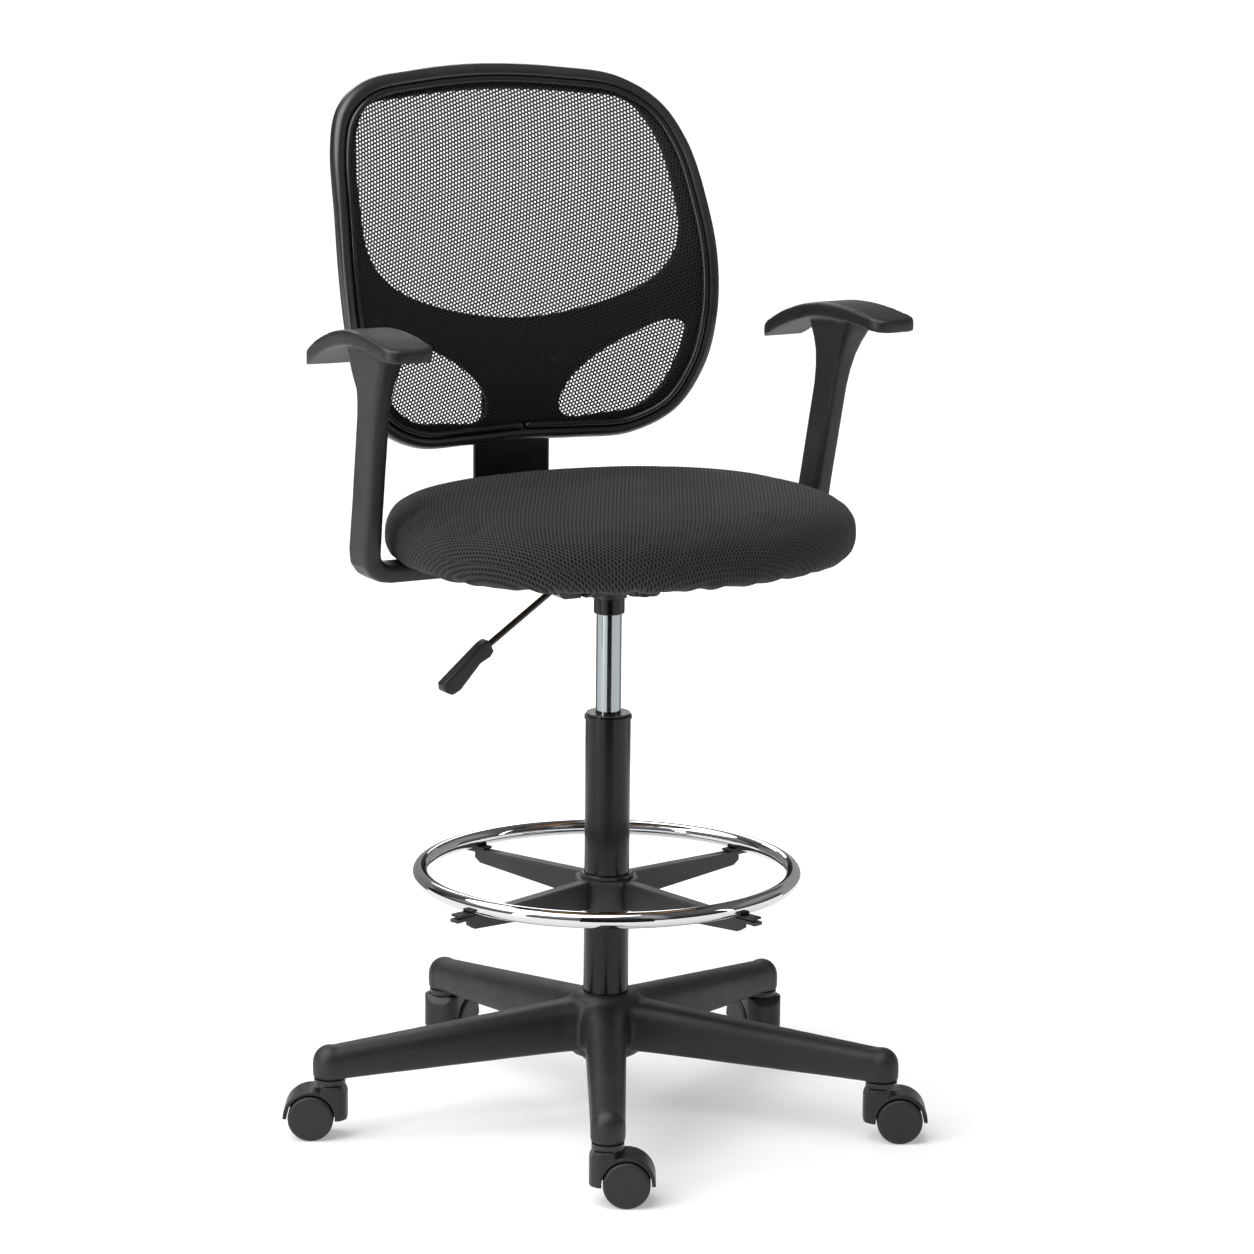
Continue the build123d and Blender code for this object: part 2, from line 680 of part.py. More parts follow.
def back_outline(inset=0):
    half = [(0, BACK_TOP_Z), (90, 1140.5), (160, 1129.5), (202, 1102), (223, 1060), (234, 985)]
    half += [(237.5, 925), (233, 862), (218, 803), (187, 754), (135, 729), (70, 727), (0, BACK_BOTTOM_Z)]
    return smooth_loop(drawn_in(both_sides(half), inset))


def through_back(face):
    """A flat outline pushed right through the back along Y."""
    return extrude(Pos(0, 60, 0) * face, amount=320, dir=(0, 1, 0))


def window_upper():
    half = [(0, 1118), (110, 1112), (165, 1103), (191, 1070), (203, 1000), (199, 945)]
    half += [(170, 910), (100, 883), (0, 869)]
    return smooth_loop(both_sides(half))


def window_eye(side):
    points = [(46, 765), (58, 753), (100, 754), (140, 759), (170, 781), (189, 815), (198, 852)]
    points += [(180, 859), (130, 843), (80, 816), (53, 790)]
    return smooth_loop([(side * x, z) for x, z in points])


def back_shell():
    """Rear moulding: deep rim, thin plate with three windows, boss for the bracket."""
    outer = through_back(back_outline())
    core = through_back(back_outline(RIM_WIDTH))
    rim = back_slab(-7, 21) & (outer - core)
    plate = back_slab(0.5, 4) & core
    for hole in (window_upper(), window_eye(1), window_eye(-1)):
        plate -= through_back(hole)
    boss = block(-44, 44, 190, BRACKET_Y - BRACKET_T / 2, 746, 822)
    boss &= back_slab(1, 60)
    body = rim + plate + boss
    for x, z in back_screw_places():
        body -= bar_y(3.02, 210, 240, x, z)
    return body


def back_trim():
    """Bead that clamps the mesh inside the rim, split at the bottom middle."""
    band = through_back(back_outline(RIM_WIDTH)) - through_back(back_outline(RIM_WIDTH + 7))
    bead = back_slab(-8, 6) & band
    return bead - block(-0.6, 0.6, 100, 320, 700, 780)


def back_mesh():
    return back_slab(-1.8, 1.6) & through_back(back_outline(RIM_WIDTH + 0.3))


# ---- write every piece ----
pieces = {
    "five_star_base": five_star_base(),
    "column_outer_tube": column_outer_tube(),
    "tube_guide_bush": tube_guide_bush(),
    "column_foot_plate": column_foot_plate(),
    "thrust_bearing": thrust_bearing(),
    "caster_stems": caster_stems(),
    "caster_collars": caster_collars(),
    "piston_rod": piston_rod(),
    "rod_clip": rod_clip(),
    "gas_cylinder": gas_cylinder(),
    "rod_guide_seal": rod_guide_seal(),
    "valve_button": valve_button(),
    "column_collar": column_collar(),
    "foot_ring": foot_ring(),
    "ring_spider": ring_spider(),
    "ring_lock_collar": ring_lock_collar(),
    "ring_clips": ring_clips(),
    "ring_screws": ring_screws(),
    "mechanism_box": mechanism_box(),
    "tilt_axle": tilt_axle(),
    "lever_pivot_block": lever_pivot_block(),
    "lever_pivot_pin": lever_pivot_pin(),
    "release_lever_rod": release_lever_rod(),
    "lever_paddle": lever_paddle(),
    "tilt_plate": tilt_plate(),
    "seat_bolts": seat_bolts(),
    "tension_bolt": tension_bolt(),
    "tension_spring": tension_spring(),
    "tension_knob": tension_knob(),
    "seat_cushion": seat_cushion(),
    "seat_board": seat_board(),
    "arm_left": arm_left(),
    "arm_right": mirror(arm_left(), about=Plane.YZ),
    "arm_bolts": arm_bolts(),
    "back_bracket": back_bracket(),
    "bracket_bolts": bracket_bolts(),
    "back_shell": back_shell(),
    "back_trim": back_trim(),
    "back_mesh": back_mesh(),
    "back_screws": back_screws(),
}
for leg_index in range(LEG_COUNT):
    number = leg_index + 1
    pieces[f"caster_hood_{number}"] = at_caster(leg_index, caster_hood())
    pieces[f"caster_axle_{number}"] = at_caster(leg_index, caster_axle())
    pieces[f"caster_wheel_{number}a"] = at_caster(leg_index, caster_wheel(-1))
    pieces[f"caster_wheel_{number}b"] = at_caster(leg_index, caster_wheel(1))

for node, shape in pieces.items():
    export_step(shape, f"parts/{node}.step")
print(len(pieces), "pieces written")
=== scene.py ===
# %% [markdown]
# # A drafting chair
# This lesson dresses a chair whose sizes and moving parts already exist as a fixed frame. The
# frame holds every rigid part in metres, so nothing here is fitted by eye: each new piece is
# built where its rigid counterpart stands, then told which body it moves with.

# %% Load the frame
import math

import bpy
import numpy as np
from mathutils import Matrix, Vector
from mathutils.geometry import delaunay_2d_cdt


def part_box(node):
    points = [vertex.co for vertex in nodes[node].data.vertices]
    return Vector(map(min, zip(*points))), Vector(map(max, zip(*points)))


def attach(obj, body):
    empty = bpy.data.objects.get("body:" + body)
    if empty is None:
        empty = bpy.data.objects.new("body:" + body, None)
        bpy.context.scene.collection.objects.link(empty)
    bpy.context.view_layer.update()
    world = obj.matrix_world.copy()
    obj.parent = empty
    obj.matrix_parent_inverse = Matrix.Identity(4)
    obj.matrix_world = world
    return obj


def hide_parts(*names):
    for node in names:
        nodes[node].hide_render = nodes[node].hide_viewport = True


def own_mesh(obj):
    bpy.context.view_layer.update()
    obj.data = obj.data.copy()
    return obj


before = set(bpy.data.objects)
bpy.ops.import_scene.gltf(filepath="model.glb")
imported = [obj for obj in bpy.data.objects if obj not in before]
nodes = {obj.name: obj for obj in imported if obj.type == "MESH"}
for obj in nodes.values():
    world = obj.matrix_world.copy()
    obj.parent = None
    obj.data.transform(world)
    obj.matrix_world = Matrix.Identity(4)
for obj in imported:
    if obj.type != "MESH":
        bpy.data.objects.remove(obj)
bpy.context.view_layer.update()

MM = 0.001

# %% [markdown]
# ## The camera
# A product picture of a tall chair is taken from far away with a long lens, so that the legs near
# the lens don't look too big. The camera stands 4.5 m off, a little above the backrest, and looks
# slightly down. Its turn, tilt and lean are three plain angles, which makes them easy to change.

# %% Camera
CAMERA_AZIMUTH = math.radians(-29.6)
CAMERA_DISTANCE = 4.5
CAMERA_HEIGHT = 1.4431
AIM_TURN = math.radians(-29.85)
AIM_DOWN = math.radians(11.22)
AIM_LEAN = math.radians(0.59)

camera_data = bpy.data.cameras.new("studio_camera")
camera_data.sensor_width = 36
camera_data.lens = 120.42
camera = bpy.data.objects.new("studio_camera", camera_data)
bpy.context.scene.collection.objects.link(camera)
camera.matrix_world = (
    Matrix.Translation((CAMERA_DISTANCE * math.sin(CAMERA_AZIMUTH),
                        -CAMERA_DISTANCE * math.cos(CAMERA_AZIMUTH), CAMERA_HEIGHT))
    @ Matrix.Rotation(AIM_TURN, 4, "Z")
    @ Matrix.Rotation(math.pi / 2 - AIM_DOWN, 4, "X")
    @ Matrix.Rotation(AIM_LEAN, 4, "Z")
)
bpy.context.scene.camera = camera
print("camera at", [round(v, 3) for v in camera.matrix_world.translation])

# %% [markdown]
# ## Colours and nodes
# Colours are written as the hex codes a designer would give, and one function turns them into the
# linear values that Blender mixes light with. A second function adds one shader node with its
# settings and its links, so every material below reads as a short recipe.

# %% Two helpers for materials
def linear(hex_code):
    """An sRGB hex colour as linear RGBA."""
    channels = [int(hex_code[k:k + 2], 16) / 255 for k in (1, 3, 5)]
    return [c / 12.92 if c <= 0.04045 else ((c + 0.055) / 1.055) ** 2.4 for c in channels] + [1]


def add_node(tree, kind, feeds=None, **settings):
    """One node, its settings, and what goes into its sockets: other sockets or plain values."""
    made = tree.nodes.new(kind)
    for name, value in settings.items():
        setattr(made, name, value)
    for socket, value in (feeds or {}).items():
        if isinstance(value, bpy.types.NodeSocket):
            tree.links.new(value, made.inputs[socket])
        else:
            made.inputs[socket].default_value = value
    return made


def new_finish(name, colour, roughness, metallic=0.0, **sockets):
    """A material with its shader set, ready for detail nodes."""
    made = bpy.data.materials.new(name)
    made.use_nodes = True
    shader = made.node_tree.nodes["Principled BSDF"]
    shader.inputs["Base Color"].default_value = linear(colour)
    shader.inputs["Roughness"].default_value = roughness
    shader.inputs["Metallic"].default_value = metallic
    for socket, value in sockets.items():
        shader.inputs[socket.replace("_", " ")].default_value = value
    return made, made.node_tree, shader


print("black plastic in linear light:", [round(v, 4) for v in linear("#1c1c1e")[:3]])

# %% [markdown]
# ## Studio
# The studio is a white sweep: a pale floor, a broad soft key light from above, and two tall
# softboxes. Black plastic has almost no colour of its own, so its shape is read from what it
# reflects. That is why the room the lights stand in is grey to the reflections, darker near the
# horizon. Black and grey flags on stands draw the stripes on tubes and chrome. The lens itself sees
# plain white behind the chair, and no flag.

# %% Floor, room and lights
bpy.context.scene.view_settings.view_transform = "Standard"
bpy.context.scene.view_settings.look = "None"

sweep_paint, tree, shader = new_finish("matt_white_sweep", "#d2d2d0", 0.9, Emission_Strength=0.34)
grain = add_node(tree, "ShaderNodeTexNoise", {"Scale": 1 / (40 * MM), "Detail": 3.0})
tone = add_node(tree, "ShaderNodeMix",
                {0: grain.outputs["Fac"], 6: linear("#cfcfcd"), 7: linear("#d6d6d4")}, data_type="RGBA")
tree.links.new(tone.outputs[2], shader.inputs["Base Color"])

floor_mesh = bpy.data.meshes.new("studio_floor")
floor_mesh.from_pydata([(-30, -30, 0), (30, -30, 0), (30, 30, 0), (-30, 30, 0)], [], [(0, 1, 2, 3)])
floor = bpy.data.objects.new("studio_floor", floor_mesh)
floor_mesh.materials.append(sweep_paint)
bpy.context.scene.collection.objects.link(floor)

room = bpy.data.worlds.new("studio_room")
bpy.context.scene.world = room
room.use_nodes = True
tree = room.node_tree
tree.nodes.clear()
direction = add_node(tree, "ShaderNodeTexCoord")
height = add_node(tree, "ShaderNodeSeparateXYZ", {0: direction.outputs["Generated"]})
shade = add_node(tree, "ShaderNodeValToRGB", {0: height.outputs["Z"]})
shade.color_ramp.elements[0].position = 0.0
shade.color_ramp.elements[0].color = (0.075, 0.075, 0.077, 1)
shade.color_ramp.elements[1].position = 0.75
shade.color_ramp.elements[1].color = (0.36, 0.36, 0.37, 1)
for position, level in ((0.16, 0.045), (0.30, 0.15)):
    step = shade.color_ramp.elements.new(position)
    step.color = (level, level, level * 1.02, 1)
across = add_node(tree, "ShaderNodeMath", {0: height.outputs["X"], 1: 0.5, 2: 0.5},
                  operation="MULTIPLY_ADD")
strips = add_node(tree, "ShaderNodeValToRGB", {0: across.outputs[0]})
strips.color_ramp.elements[0].color = (1, 1, 1, 1)
strips.color_ramp.elements[1].color = (0.8, 0.8, 0.8, 1)
for position, level in ((0.15, 1.0), (0.21, 0.2), (0.44, 0.2), (0.48, 0.8), (0.54, 0.8), (0.59, 0.2),
                        (0.84, 0.25), (0.90, 0.8)):
    step = strips.color_ramp.elements.new(position)
    step.color = (level, level, level, 1)
striped = add_node(tree, "ShaderNodeMix",
                   {0: 1.0, 6: shade.outputs["Color"], 7: strips.outputs["Color"]},
                   data_type="RGBA", blend_type="MULTIPLY")
lighting = add_node(tree, "ShaderNodeBackground", {"Color": striped.outputs[2], "Strength": 1.7})
backdrop = add_node(tree, "ShaderNodeBackground", {"Color": (1, 1, 1, 1), "Strength": 1.0})
path = add_node(tree, "ShaderNodeLightPath")
mixed = add_node(tree, "ShaderNodeMixShader",
                 {0: path.outputs["Is Camera Ray"], 1: lighting.outputs[0], 2: backdrop.outputs[0]})
add_node(tree, "ShaderNodeOutputWorld", {"Surface": mixed.outputs[0]})


def softbox(name, place, aim, size, power):
    """A rectangular lamp at place, turned to aim; sizes in metres, power in watts."""
    lamp_data = bpy.data.lights.new(name, "AREA")
    lamp_data.shape = "RECTANGLE"
    lamp_data.size, lamp_data.size_y = size
    lamp_data.energy = power
    lamp = bpy.data.objects.new(name, lamp_data)
    bpy.context.scene.collection.objects.link(lamp)
    lamp.location = place
    lamp.rotation_mode = "QUATERNION"
    lamp.rotation_quaternion = (Vector(aim) - Vector(place)).to_track_quat("-Z", "Y")
    return lamp


sun_data = bpy.data.lights.new("soft_key", "SUN")
sun_data.energy = 3.8
sun_data.angle = math.radians(70)
sun = bpy.data.objects.new("soft_key", sun_data)
bpy.context.scene.collection.objects.link(sun)
sun.rotation_mode = "QUATERNION"
sun.rotation_quaternion = Vector((0.46, -0.08, -1.0)).to_track_quat("-Z", "Y")
softbox("left_softbox", (-3.4, -0.6, 1.3), (0, 0, 0.7), (0.45, 2.6), 40)
softbox("right_softbox", (2.6, -2.6, 1.5), (0, 0, 0.7), (0.3, 2.4), 6)
softbox("rear_softbox", (1.2, 3.2, 2.0), (0, 0, 0.8), (1.6, 1.0), 22)


def flag(name, cloth_finish, start_deg, end_deg, reach=1.7, top=1.1):
    """Cloth stood on an arc round the chair, seen only in reflections; degrees from the lens."""
    points, faces = [], []
    for k in range(13):
        a = CAMERA_AZIMUTH + math.radians(start_deg + (end_deg - start_deg) * k / 12)
        points += [(reach * math.sin(a), -reach * math.cos(a), z) for z in (0.002, top)]
        if k:
            faces.append((2 * k - 2, 2 * k, 2 * k + 1, 2 * k - 1))
    cloth = bpy.data.meshes.new(name)
    cloth.from_pydata(points, [], faces)
    cloth.materials.append(cloth_finish)
    stood = bpy.data.objects.new(name, cloth)
    bpy.context.scene.collection.objects.link(stood)
    stood.visible_camera = stood.visible_diffuse = False
    stood.visible_shadow = stood.visible_transmission = False


def flag_cloth(name, dark, pale):
    made, tree, shader = new_finish(name, dark, 0.9)
    weave = add_node(tree, "ShaderNodeTexNoise", {"Scale": 1 / (2 * MM), "Detail": 1.0})
    tone = add_node(tree, "ShaderNodeMix", {0: weave.outputs["Fac"], 6: linear(dark), 7: linear(pale)},
                    data_type="RGBA")
    tree.links.new(tone.outputs[2], shader.inputs["Base Color"])
    return made


black_cloth = flag_cloth("black_flag_cloth", "#040404", "#080808")
grey_cloth = flag_cloth("grey_flag_cloth", "#8a8a8a", "#949494")
flag("middle_flag", black_cloth, -14, 26)
flag("left_flag", grey_cloth, -172, -122)
flag("right_flag", grey_cloth, 118, 172)

# %% [markdown]
# ## Moulded plastics
# Most of the chair is glass-filled nylon or polypropylene out of a mould whose walls were etched
# with a fine grain. The grain is what makes black plastic look charcoal: each tiny slope catches
# some light. Noise at grain size drives the bump, broad slow noise moves the roughness a little, as
# handling does, and the convex edges are a touch paler in patches of that same noise.

# %% Moulded plastic
def moulded_plastic(name, colour, patch_tone, roughness, grain_mm, depth_mm, ior=1.46):
    """Grained injection moulding. Grain finer than 0.8 mm wouldn't show, so it is drawn coarser."""
    made, tree, shader = new_finish(name, colour, roughness, IOR=ior)
    place = add_node(tree, "ShaderNodeTexCoord").outputs["Object"]
    grain = add_node(tree, "ShaderNodeTexNoise",
                     {"Vector": place, "Scale": 1 / (grain_mm * MM), "Detail": 2.0, "Roughness": 0.6})
    relief = add_node(tree, "ShaderNodeBump",
                      {"Height": grain.outputs["Fac"], "Strength": 0.8, "Distance": depth_mm * MM})
    tree.links.new(relief.outputs["Normal"], shader.inputs["Normal"])
    handled = add_node(tree, "ShaderNodeTexNoise",
                       {"Vector": place, "Scale": 1 / (45 * MM), "Detail": 3.0})
    sheen = add_node(tree, "ShaderNodeMapRange", {"Value": handled.outputs["Fac"], 1: 0.3, 2: 0.7,
                                                  3: roughness - 0.05, 4: roughness + 0.06})
    tree.links.new(sheen.outputs["Result"], shader.inputs["Roughness"])
    # Convex edges, found by pointiness, turn paler in patches of the broad noise.
    shape = add_node(tree, "ShaderNodeNewGeometry")
    edges = add_node(tree, "ShaderNodeMapRange",
                     {"Value": shape.outputs["Pointiness"], 1: 0.51, 2: 0.58, 3: 0.0, 4: 0.55})
    speckle = add_node(tree, "ShaderNodeMath", {0: edges.outputs["Result"], 1: handled.outputs["Fac"]},
                       operation="MULTIPLY")
    tint = add_node(tree, "ShaderNodeMix", {0: speckle.outputs[0], 6: linear(colour), 7: linear(patch_tone)},
                    data_type="RGBA")
    tree.links.new(tint.outputs[2], shader.inputs["Base Color"])
    return made


base_nylon = moulded_plastic("glass_filled_nylon_star", "#1a1a1c", "#404045", 0.50, 0.9, 0.035)
caster_nylon = moulded_plastic("caster_hood_nylon", "#111113", "#38383c", 0.42, 0.9, 0.02)
tread_nylon = moulded_plastic("caster_wheel_nylon", "#1d1e20", "#3c3c40", 0.55, 0.9, 0.03)
arm_plastic = moulded_plastic("polypropylene_arm", "#1b1b1c", "#434347", 0.46, 0.9, 0.03)
back_plastic = moulded_plastic("back_frame_nylon", "#111112", "#3c3c40", 0.24, 0.9, 0.012, ior=1.53)
# The plate is the back frame's nylon drawn darker and duller: painted shade behind the mesh cloth.
plate_shade_plastic = moulded_plastic("back_plate_nylon_painted_shade", "#070708", "#18181a", 0.6, 0.9, 0.02, ior=1.4)
spider_nylon = moulded_plastic("spoke_nylon", "#1a1a1c", "#45454a", 0.48, 0.9, 0.025)
lever_plastic = moulded_plastic("lever_paddle_plastic", "#101011", "#46464a", 0.42, 0.9, 0.02)
bush_plastic = moulded_plastic("acetal_bush", "#141416", "#38383c", 0.30, 0.9, 0.01)
seal_rubber = moulded_plastic("nitrile_seal", "#161616", "#2b2b2b", 0.7, 0.9, 0.02)
print("plastics ready, from", base_nylon.name, "to", seal_rubber.name)

# %% [markdown]
# ## Steel in four finishes
# The column is powder coated: smooth from a distance, with the faint orange peel of melted powder.
# The gas cylinder is bright zinc, drawn through a die, so its fine lines run up and down. The foot
# ring is chrome, which is a mirror with a breath of haze. Small bolts and pins are plain zinc.

# %% Powder coat, zinc and chrome
def powder_coat(name, colour, roughness, peel_mm, ior=1.5):
    """Baked powder on steel: a plastic skin with shallow orange peel."""
    made, tree, shader = new_finish(name, colour, roughness, IOR=ior)
    place = add_node(tree, "ShaderNodeTexCoord").outputs["Object"]
    peel = add_node(tree, "ShaderNodeTexNoise",
                    {"Vector": place, "Scale": 1 / (peel_mm * MM), "Detail": 1.0})
    relief = add_node(tree, "ShaderNodeBump", {"Height": peel.outputs["Fac"], "Strength": 0.6,
                                               "Distance": 0.012 * MM})
    tree.links.new(relief.outputs["Normal"], shader.inputs["Normal"])
    rubbed = add_node(tree, "ShaderNodeTexNoise",
                      {"Vector": place, "Scale": 1 / (60 * MM), "Detail": 4.0})
    sheen = add_node(tree, "ShaderNodeMapRange", {"Value": rubbed.outputs["Fac"], 1: 0.3, 2: 0.7,
                                                  3: roughness - 0.04, 4: roughness + 0.06})
    tree.links.new(sheen.outputs["Result"], shader.inputs["Roughness"])
    return made


def bare_metal(name, colour, roughness, line_mm, stretch):
    """Metal with fine tool lines: line_mm apart, and stretch times longer up and down."""
    made, tree, shader = new_finish(name, colour, roughness, metallic=1.0)
    place = add_node(tree, "ShaderNodeTexCoord").outputs["Object"]
    drawn = add_node(tree, "ShaderNodeMapping", {"Vector": place, "Scale": (1, 1, 1 / stretch)})
    lines = add_node(tree, "ShaderNodeTexNoise", {"Vector": drawn.outputs["Vector"],
                                                  "Scale": 1 / (line_mm * MM), "Detail": 2.0})
    sheen = add_node(tree, "ShaderNodeMapRange", {"Value": lines.outputs["Fac"], 1: 0.25, 2: 0.75,
                                                  3: roughness * 0.7, 4: roughness * 1.35})
    tree.links.new(sheen.outputs["Result"], shader.inputs["Roughness"])
    relief = add_node(tree, "ShaderNodeBump", {"Height": lines.outputs["Fac"], "Strength": 0.25,
                                               "Distance": 0.008 * MM})
    tree.links.new(relief.outputs["Normal"], shader.inputs["Normal"])
    return made


column_coat = powder_coat("satin_black_powder_coat", "#040405", 0.20, 2.5, ior=1.38)
pressed_coat = powder_coat("pressed_steel_powder_coat", "#0a0a0b", 0.38, 2.0)
lever_coat = powder_coat("lever_rod_enamel", "#0f0f10", 0.25, 2.0)
cylinder_zinc = bare_metal("bright_zinc_tube", "#9ba2a6", 0.12, 1.2, 40)
plain_zinc = bare_metal("zinc_plated_steel", "#b4b4b0", 0.34, 1.0, 1)
axle_steel = bare_metal("ground_steel_pin", "#b9bbbd", 0.22, 1.0, 1)
spring_steel = bare_metal("oiled_spring_steel", "#55534f", 0.38, 1.0, 1)
ring_chrome = bare_metal("polished_chrome", "#d0d0d3", 0.035, 6.0, 1)
print("metals ready:", cylinder_zinc.name, ring_chrome.name)

# %% [markdown]
# ## Birch plywood
# The seat board is moulded plywood. Only its edge could ever be seen, under the cushion, so it is
# thin layers stacked in Z: pale and dark bands 1.2 mm thick, with a little waviness.

# %% Plywood
plywood, tree, shader = new_finish("birch_plywood", "#b99a6b", 0.6)
place = add_node(tree, "ShaderNodeTexCoord").outputs["Object"]
plies = add_node(tree, "ShaderNodeTexWave",
                 {"Vector": place, "Scale": 1 / (7.5 * MM), "Distortion": 0.6}, bands_direction="Z")
ply_tint = add_node(tree, "ShaderNodeMix",
                    {0: plies.outputs["Fac"], 6: linear("#8c6b3f"), 7: linear("#c7aa7c")},
                    data_type="RGBA")
tree.links.new(ply_tint.outputs[2], shader.inputs["Base Color"])
print("plywood plies of 1.2 mm")

# %% [markdown]
# ## Knitted polyester
# The seat wears a thick knitted spacer mesh: rows of small round holes, each row moved half a step
# along. Multiplying two cosines gives exactly that pattern, because their product peaks at
# staggered points. The holes are pure black: partly the dark knit seen through them, partly painted
# shade where light can't reach inside them. They sink in, and the yarn between them stands up and
# has the soft edge glow of polyester, which is what sheen is for. The real holes are about 3.4 mm
# apart; they are drawn 4.8 mm apart, so that they still show at the size of the whole chair. The
# back's mesh is thinner, and its holes are cut for real further down, so its yarn only needs colour
# and twist.

# %% Knitted cloth
def knitted_cloth(name, yarn, hole, pitch_mm, depth_mm, sheen):
    """Rows of staggered holes, laid out by the flat cloth's own X and Y."""
    made, tree, shader = new_finish(name, yarn, 0.86, IOR=1.46)
    shader.inputs["Sheen Weight"].default_value = sheen
    shader.inputs["Sheen Roughness"].default_value = 0.45
    shader.inputs["Specular IOR Level"].default_value = 0.2
    place = add_node(tree, "ShaderNodeAttribute", attribute_name="cloth_place").outputs["Vector"]
    parts = add_node(tree, "ShaderNodeSeparateXYZ", {0: place})
    waves = []
    for side, step_mm in (("X", pitch_mm), ("Y", pitch_mm * math.sqrt(3))):
        angle = add_node(tree, "ShaderNodeMath",
                         {0: parts.outputs[side], 1: 2 * math.pi / (step_mm * MM)},
                         operation="MULTIPLY")
        waves.append(add_node(tree, "ShaderNodeMath", {0: angle.outputs[0]}, operation="COSINE"))
    dots = add_node(tree, "ShaderNodeMath", {0: waves[0].outputs[0], 1: waves[1].outputs[0]},
                    operation="MULTIPLY")
    holes = add_node(tree, "ShaderNodeMapRange",
                     {"Value": dots.outputs[0], 1: 0.0, 2: 0.45, 3: 0.0, 4: 1.0},
                     interpolation_type="SMOOTHSTEP")
    fuzz = add_node(tree, "ShaderNodeTexNoise",
                    {"Vector": place, "Scale": 1 / (1.0 * MM), "Detail": 2.0})
    patch_tone = add_node(tree, "ShaderNodeTexNoise",
                    {"Vector": place, "Scale": 1 / (70 * MM), "Detail": 3.0})
    yarn_tone = add_node(tree, "ShaderNodeMix",
                         {0: patch_tone.outputs["Fac"], 6: linear(yarn), 7: linear(hole)}, data_type="RGBA")
    yarn_soft = add_node(tree, "ShaderNodeMix", {0: 0.75, 6: yarn_tone.outputs[2], 7: linear(yarn)},
                         data_type="RGBA")
    # The holes take the pure black hole colour: painted shade inside each hole, over the dark knit
    # beneath.
    tint = add_node(tree, "ShaderNodeMix", {0: holes.outputs["Result"], 6: yarn_soft.outputs[2],
                                            7: linear(hole)}, data_type="RGBA")
    tree.links.new(tint.outputs[2], shader.inputs["Base Color"])
    height = add_node(tree, "ShaderNodeMath", {0: fuzz.outputs["Fac"], 1: 0.25, 2: 1.0},
                      operation="MULTIPLY_ADD")
    sunk = add_node(tree, "ShaderNodeMath", {0: height.outputs[0], 1: holes.outputs["Result"]},
                    operation="SUBTRACT")
    relief = add_node(tree, "ShaderNodeBump", {"Height": sunk.outputs[0], "Strength": 0.9,
                                               "Distance": depth_mm * MM})
    tree.links.new(relief.outputs["Normal"], shader.inputs["Normal"])
    return made


NET_PITCH = 4.4
NET_TURN_DEG = 16
# The pure black hole colour is painted shade inside the knit's holes.
seat_cloth = knitted_cloth("seat_spacer_mesh", "#38383a", "#000000", 4.8, 1.4, 0.05)
net_yarn, tree, shader = new_finish("polyester_net_yarn", "#101011", 0.75, IOR=1.42)
shader.inputs["Sheen Weight"].default_value = 0.06
place = add_node(tree, "ShaderNodeTexCoord").outputs["Object"]
twist = add_node(tree, "ShaderNodeTexNoise", {"Vector": place, "Scale": 1 / (0.9 * MM), "Detail": 2.0})
relief = add_node(tree, "ShaderNodeBump", {"Height": twist.outputs["Fac"], "Strength": 0.6,
                                           "Distance": 0.1 * MM})
tree.links.new(relief.outputs["Normal"], shader.inputs["Normal"])
net_tone = add_node(tree, "ShaderNodeMix",
                    {0: twist.outputs["Fac"], 6: linear("#080809"), 7: linear("#1c1c1d")},
                    data_type="RGBA")
tree.links.new(net_tone.outputs[2], shader.inputs["Base Color"])
print("net pitch", NET_PITCH, "mm")

# %% [markdown]
# ## Finishes on the rigid parts
# Most rigid parts already have their true shape: turned, drawn or pressed. They only need their
# finish, which goes into the material slot of each part. A dictionary keeps the choice readable.

# %% Dress the rigid parts
FINISHES = {
    column_coat: ["column_outer_tube", "column_collar"],
    bush_plastic: ["tube_guide_bush", "caster_collars", "lever_pivot_block",
                   "ring_lock_collar", "ring_clips"],
    plain_zinc: ["column_foot_plate", "rod_clip", "seat_bolts", "tension_bolt", "arm_bolts",
                 "bracket_bolts", "back_screws", "thrust_bearing"],
    axle_steel: ["caster_stems", "piston_rod", "valve_button", "tilt_axle", "lever_pivot_pin"]
    + [f"caster_axle_{k}" for k in range(1, 6)],
    cylinder_zinc: ["gas_cylinder"],
    seal_rubber: ["rod_guide_seal"],
    ring_chrome: ["foot_ring"],
    spider_nylon: ["ring_spider"],
    pressed_coat: ["mechanism_box", "tilt_plate"],
    lever_coat: ["release_lever_rod", "ring_screws"],
    lever_plastic: ["tension_knob"],
    plywood: ["seat_board"],
    tread_nylon: [f"caster_wheel_{k}{side}" for k in range(1, 6) for side in "ab"],
}
for finish, names in FINISHES.items():
    for name in names:
        skin = nodes[name].data.materials
        if not skin:
            skin.append(finish)
        for index in range(len(skin)):
            skin[index] = finish
print(sum(len(names) for names in FINISHES.values()), "rigid parts dressed")

# %% [markdown]
# ## Making pieces
# Three small tools cover the rest. One turns points and faces into a piece, in millimetres. One
# bakes modifiers into the mesh. One joins rows of points, ring after ring, as a boatbuilder joins
# ribs with planks. Wherever two solids should melt into one moulding, a voxel remesh unites them
# and a smooth modifier rounds the inside corners, which is how a mould's fillets look.

# %% Piece tools
def make_piece(name, points_mm, faces, finish):
    """A smooth shaded mesh object from points in millimetres."""
    mesh = bpy.data.meshes.new(name)
    mesh.from_pydata([Vector(p) * MM for p in points_mm], [], faces)
    mesh.polygons.foreach_set("use_smooth", [True] * len(mesh.polygons))
    mesh.materials.append(finish)
    piece = bpy.data.objects.new(name, mesh)
    bpy.context.scene.collection.objects.link(piece)
    return piece


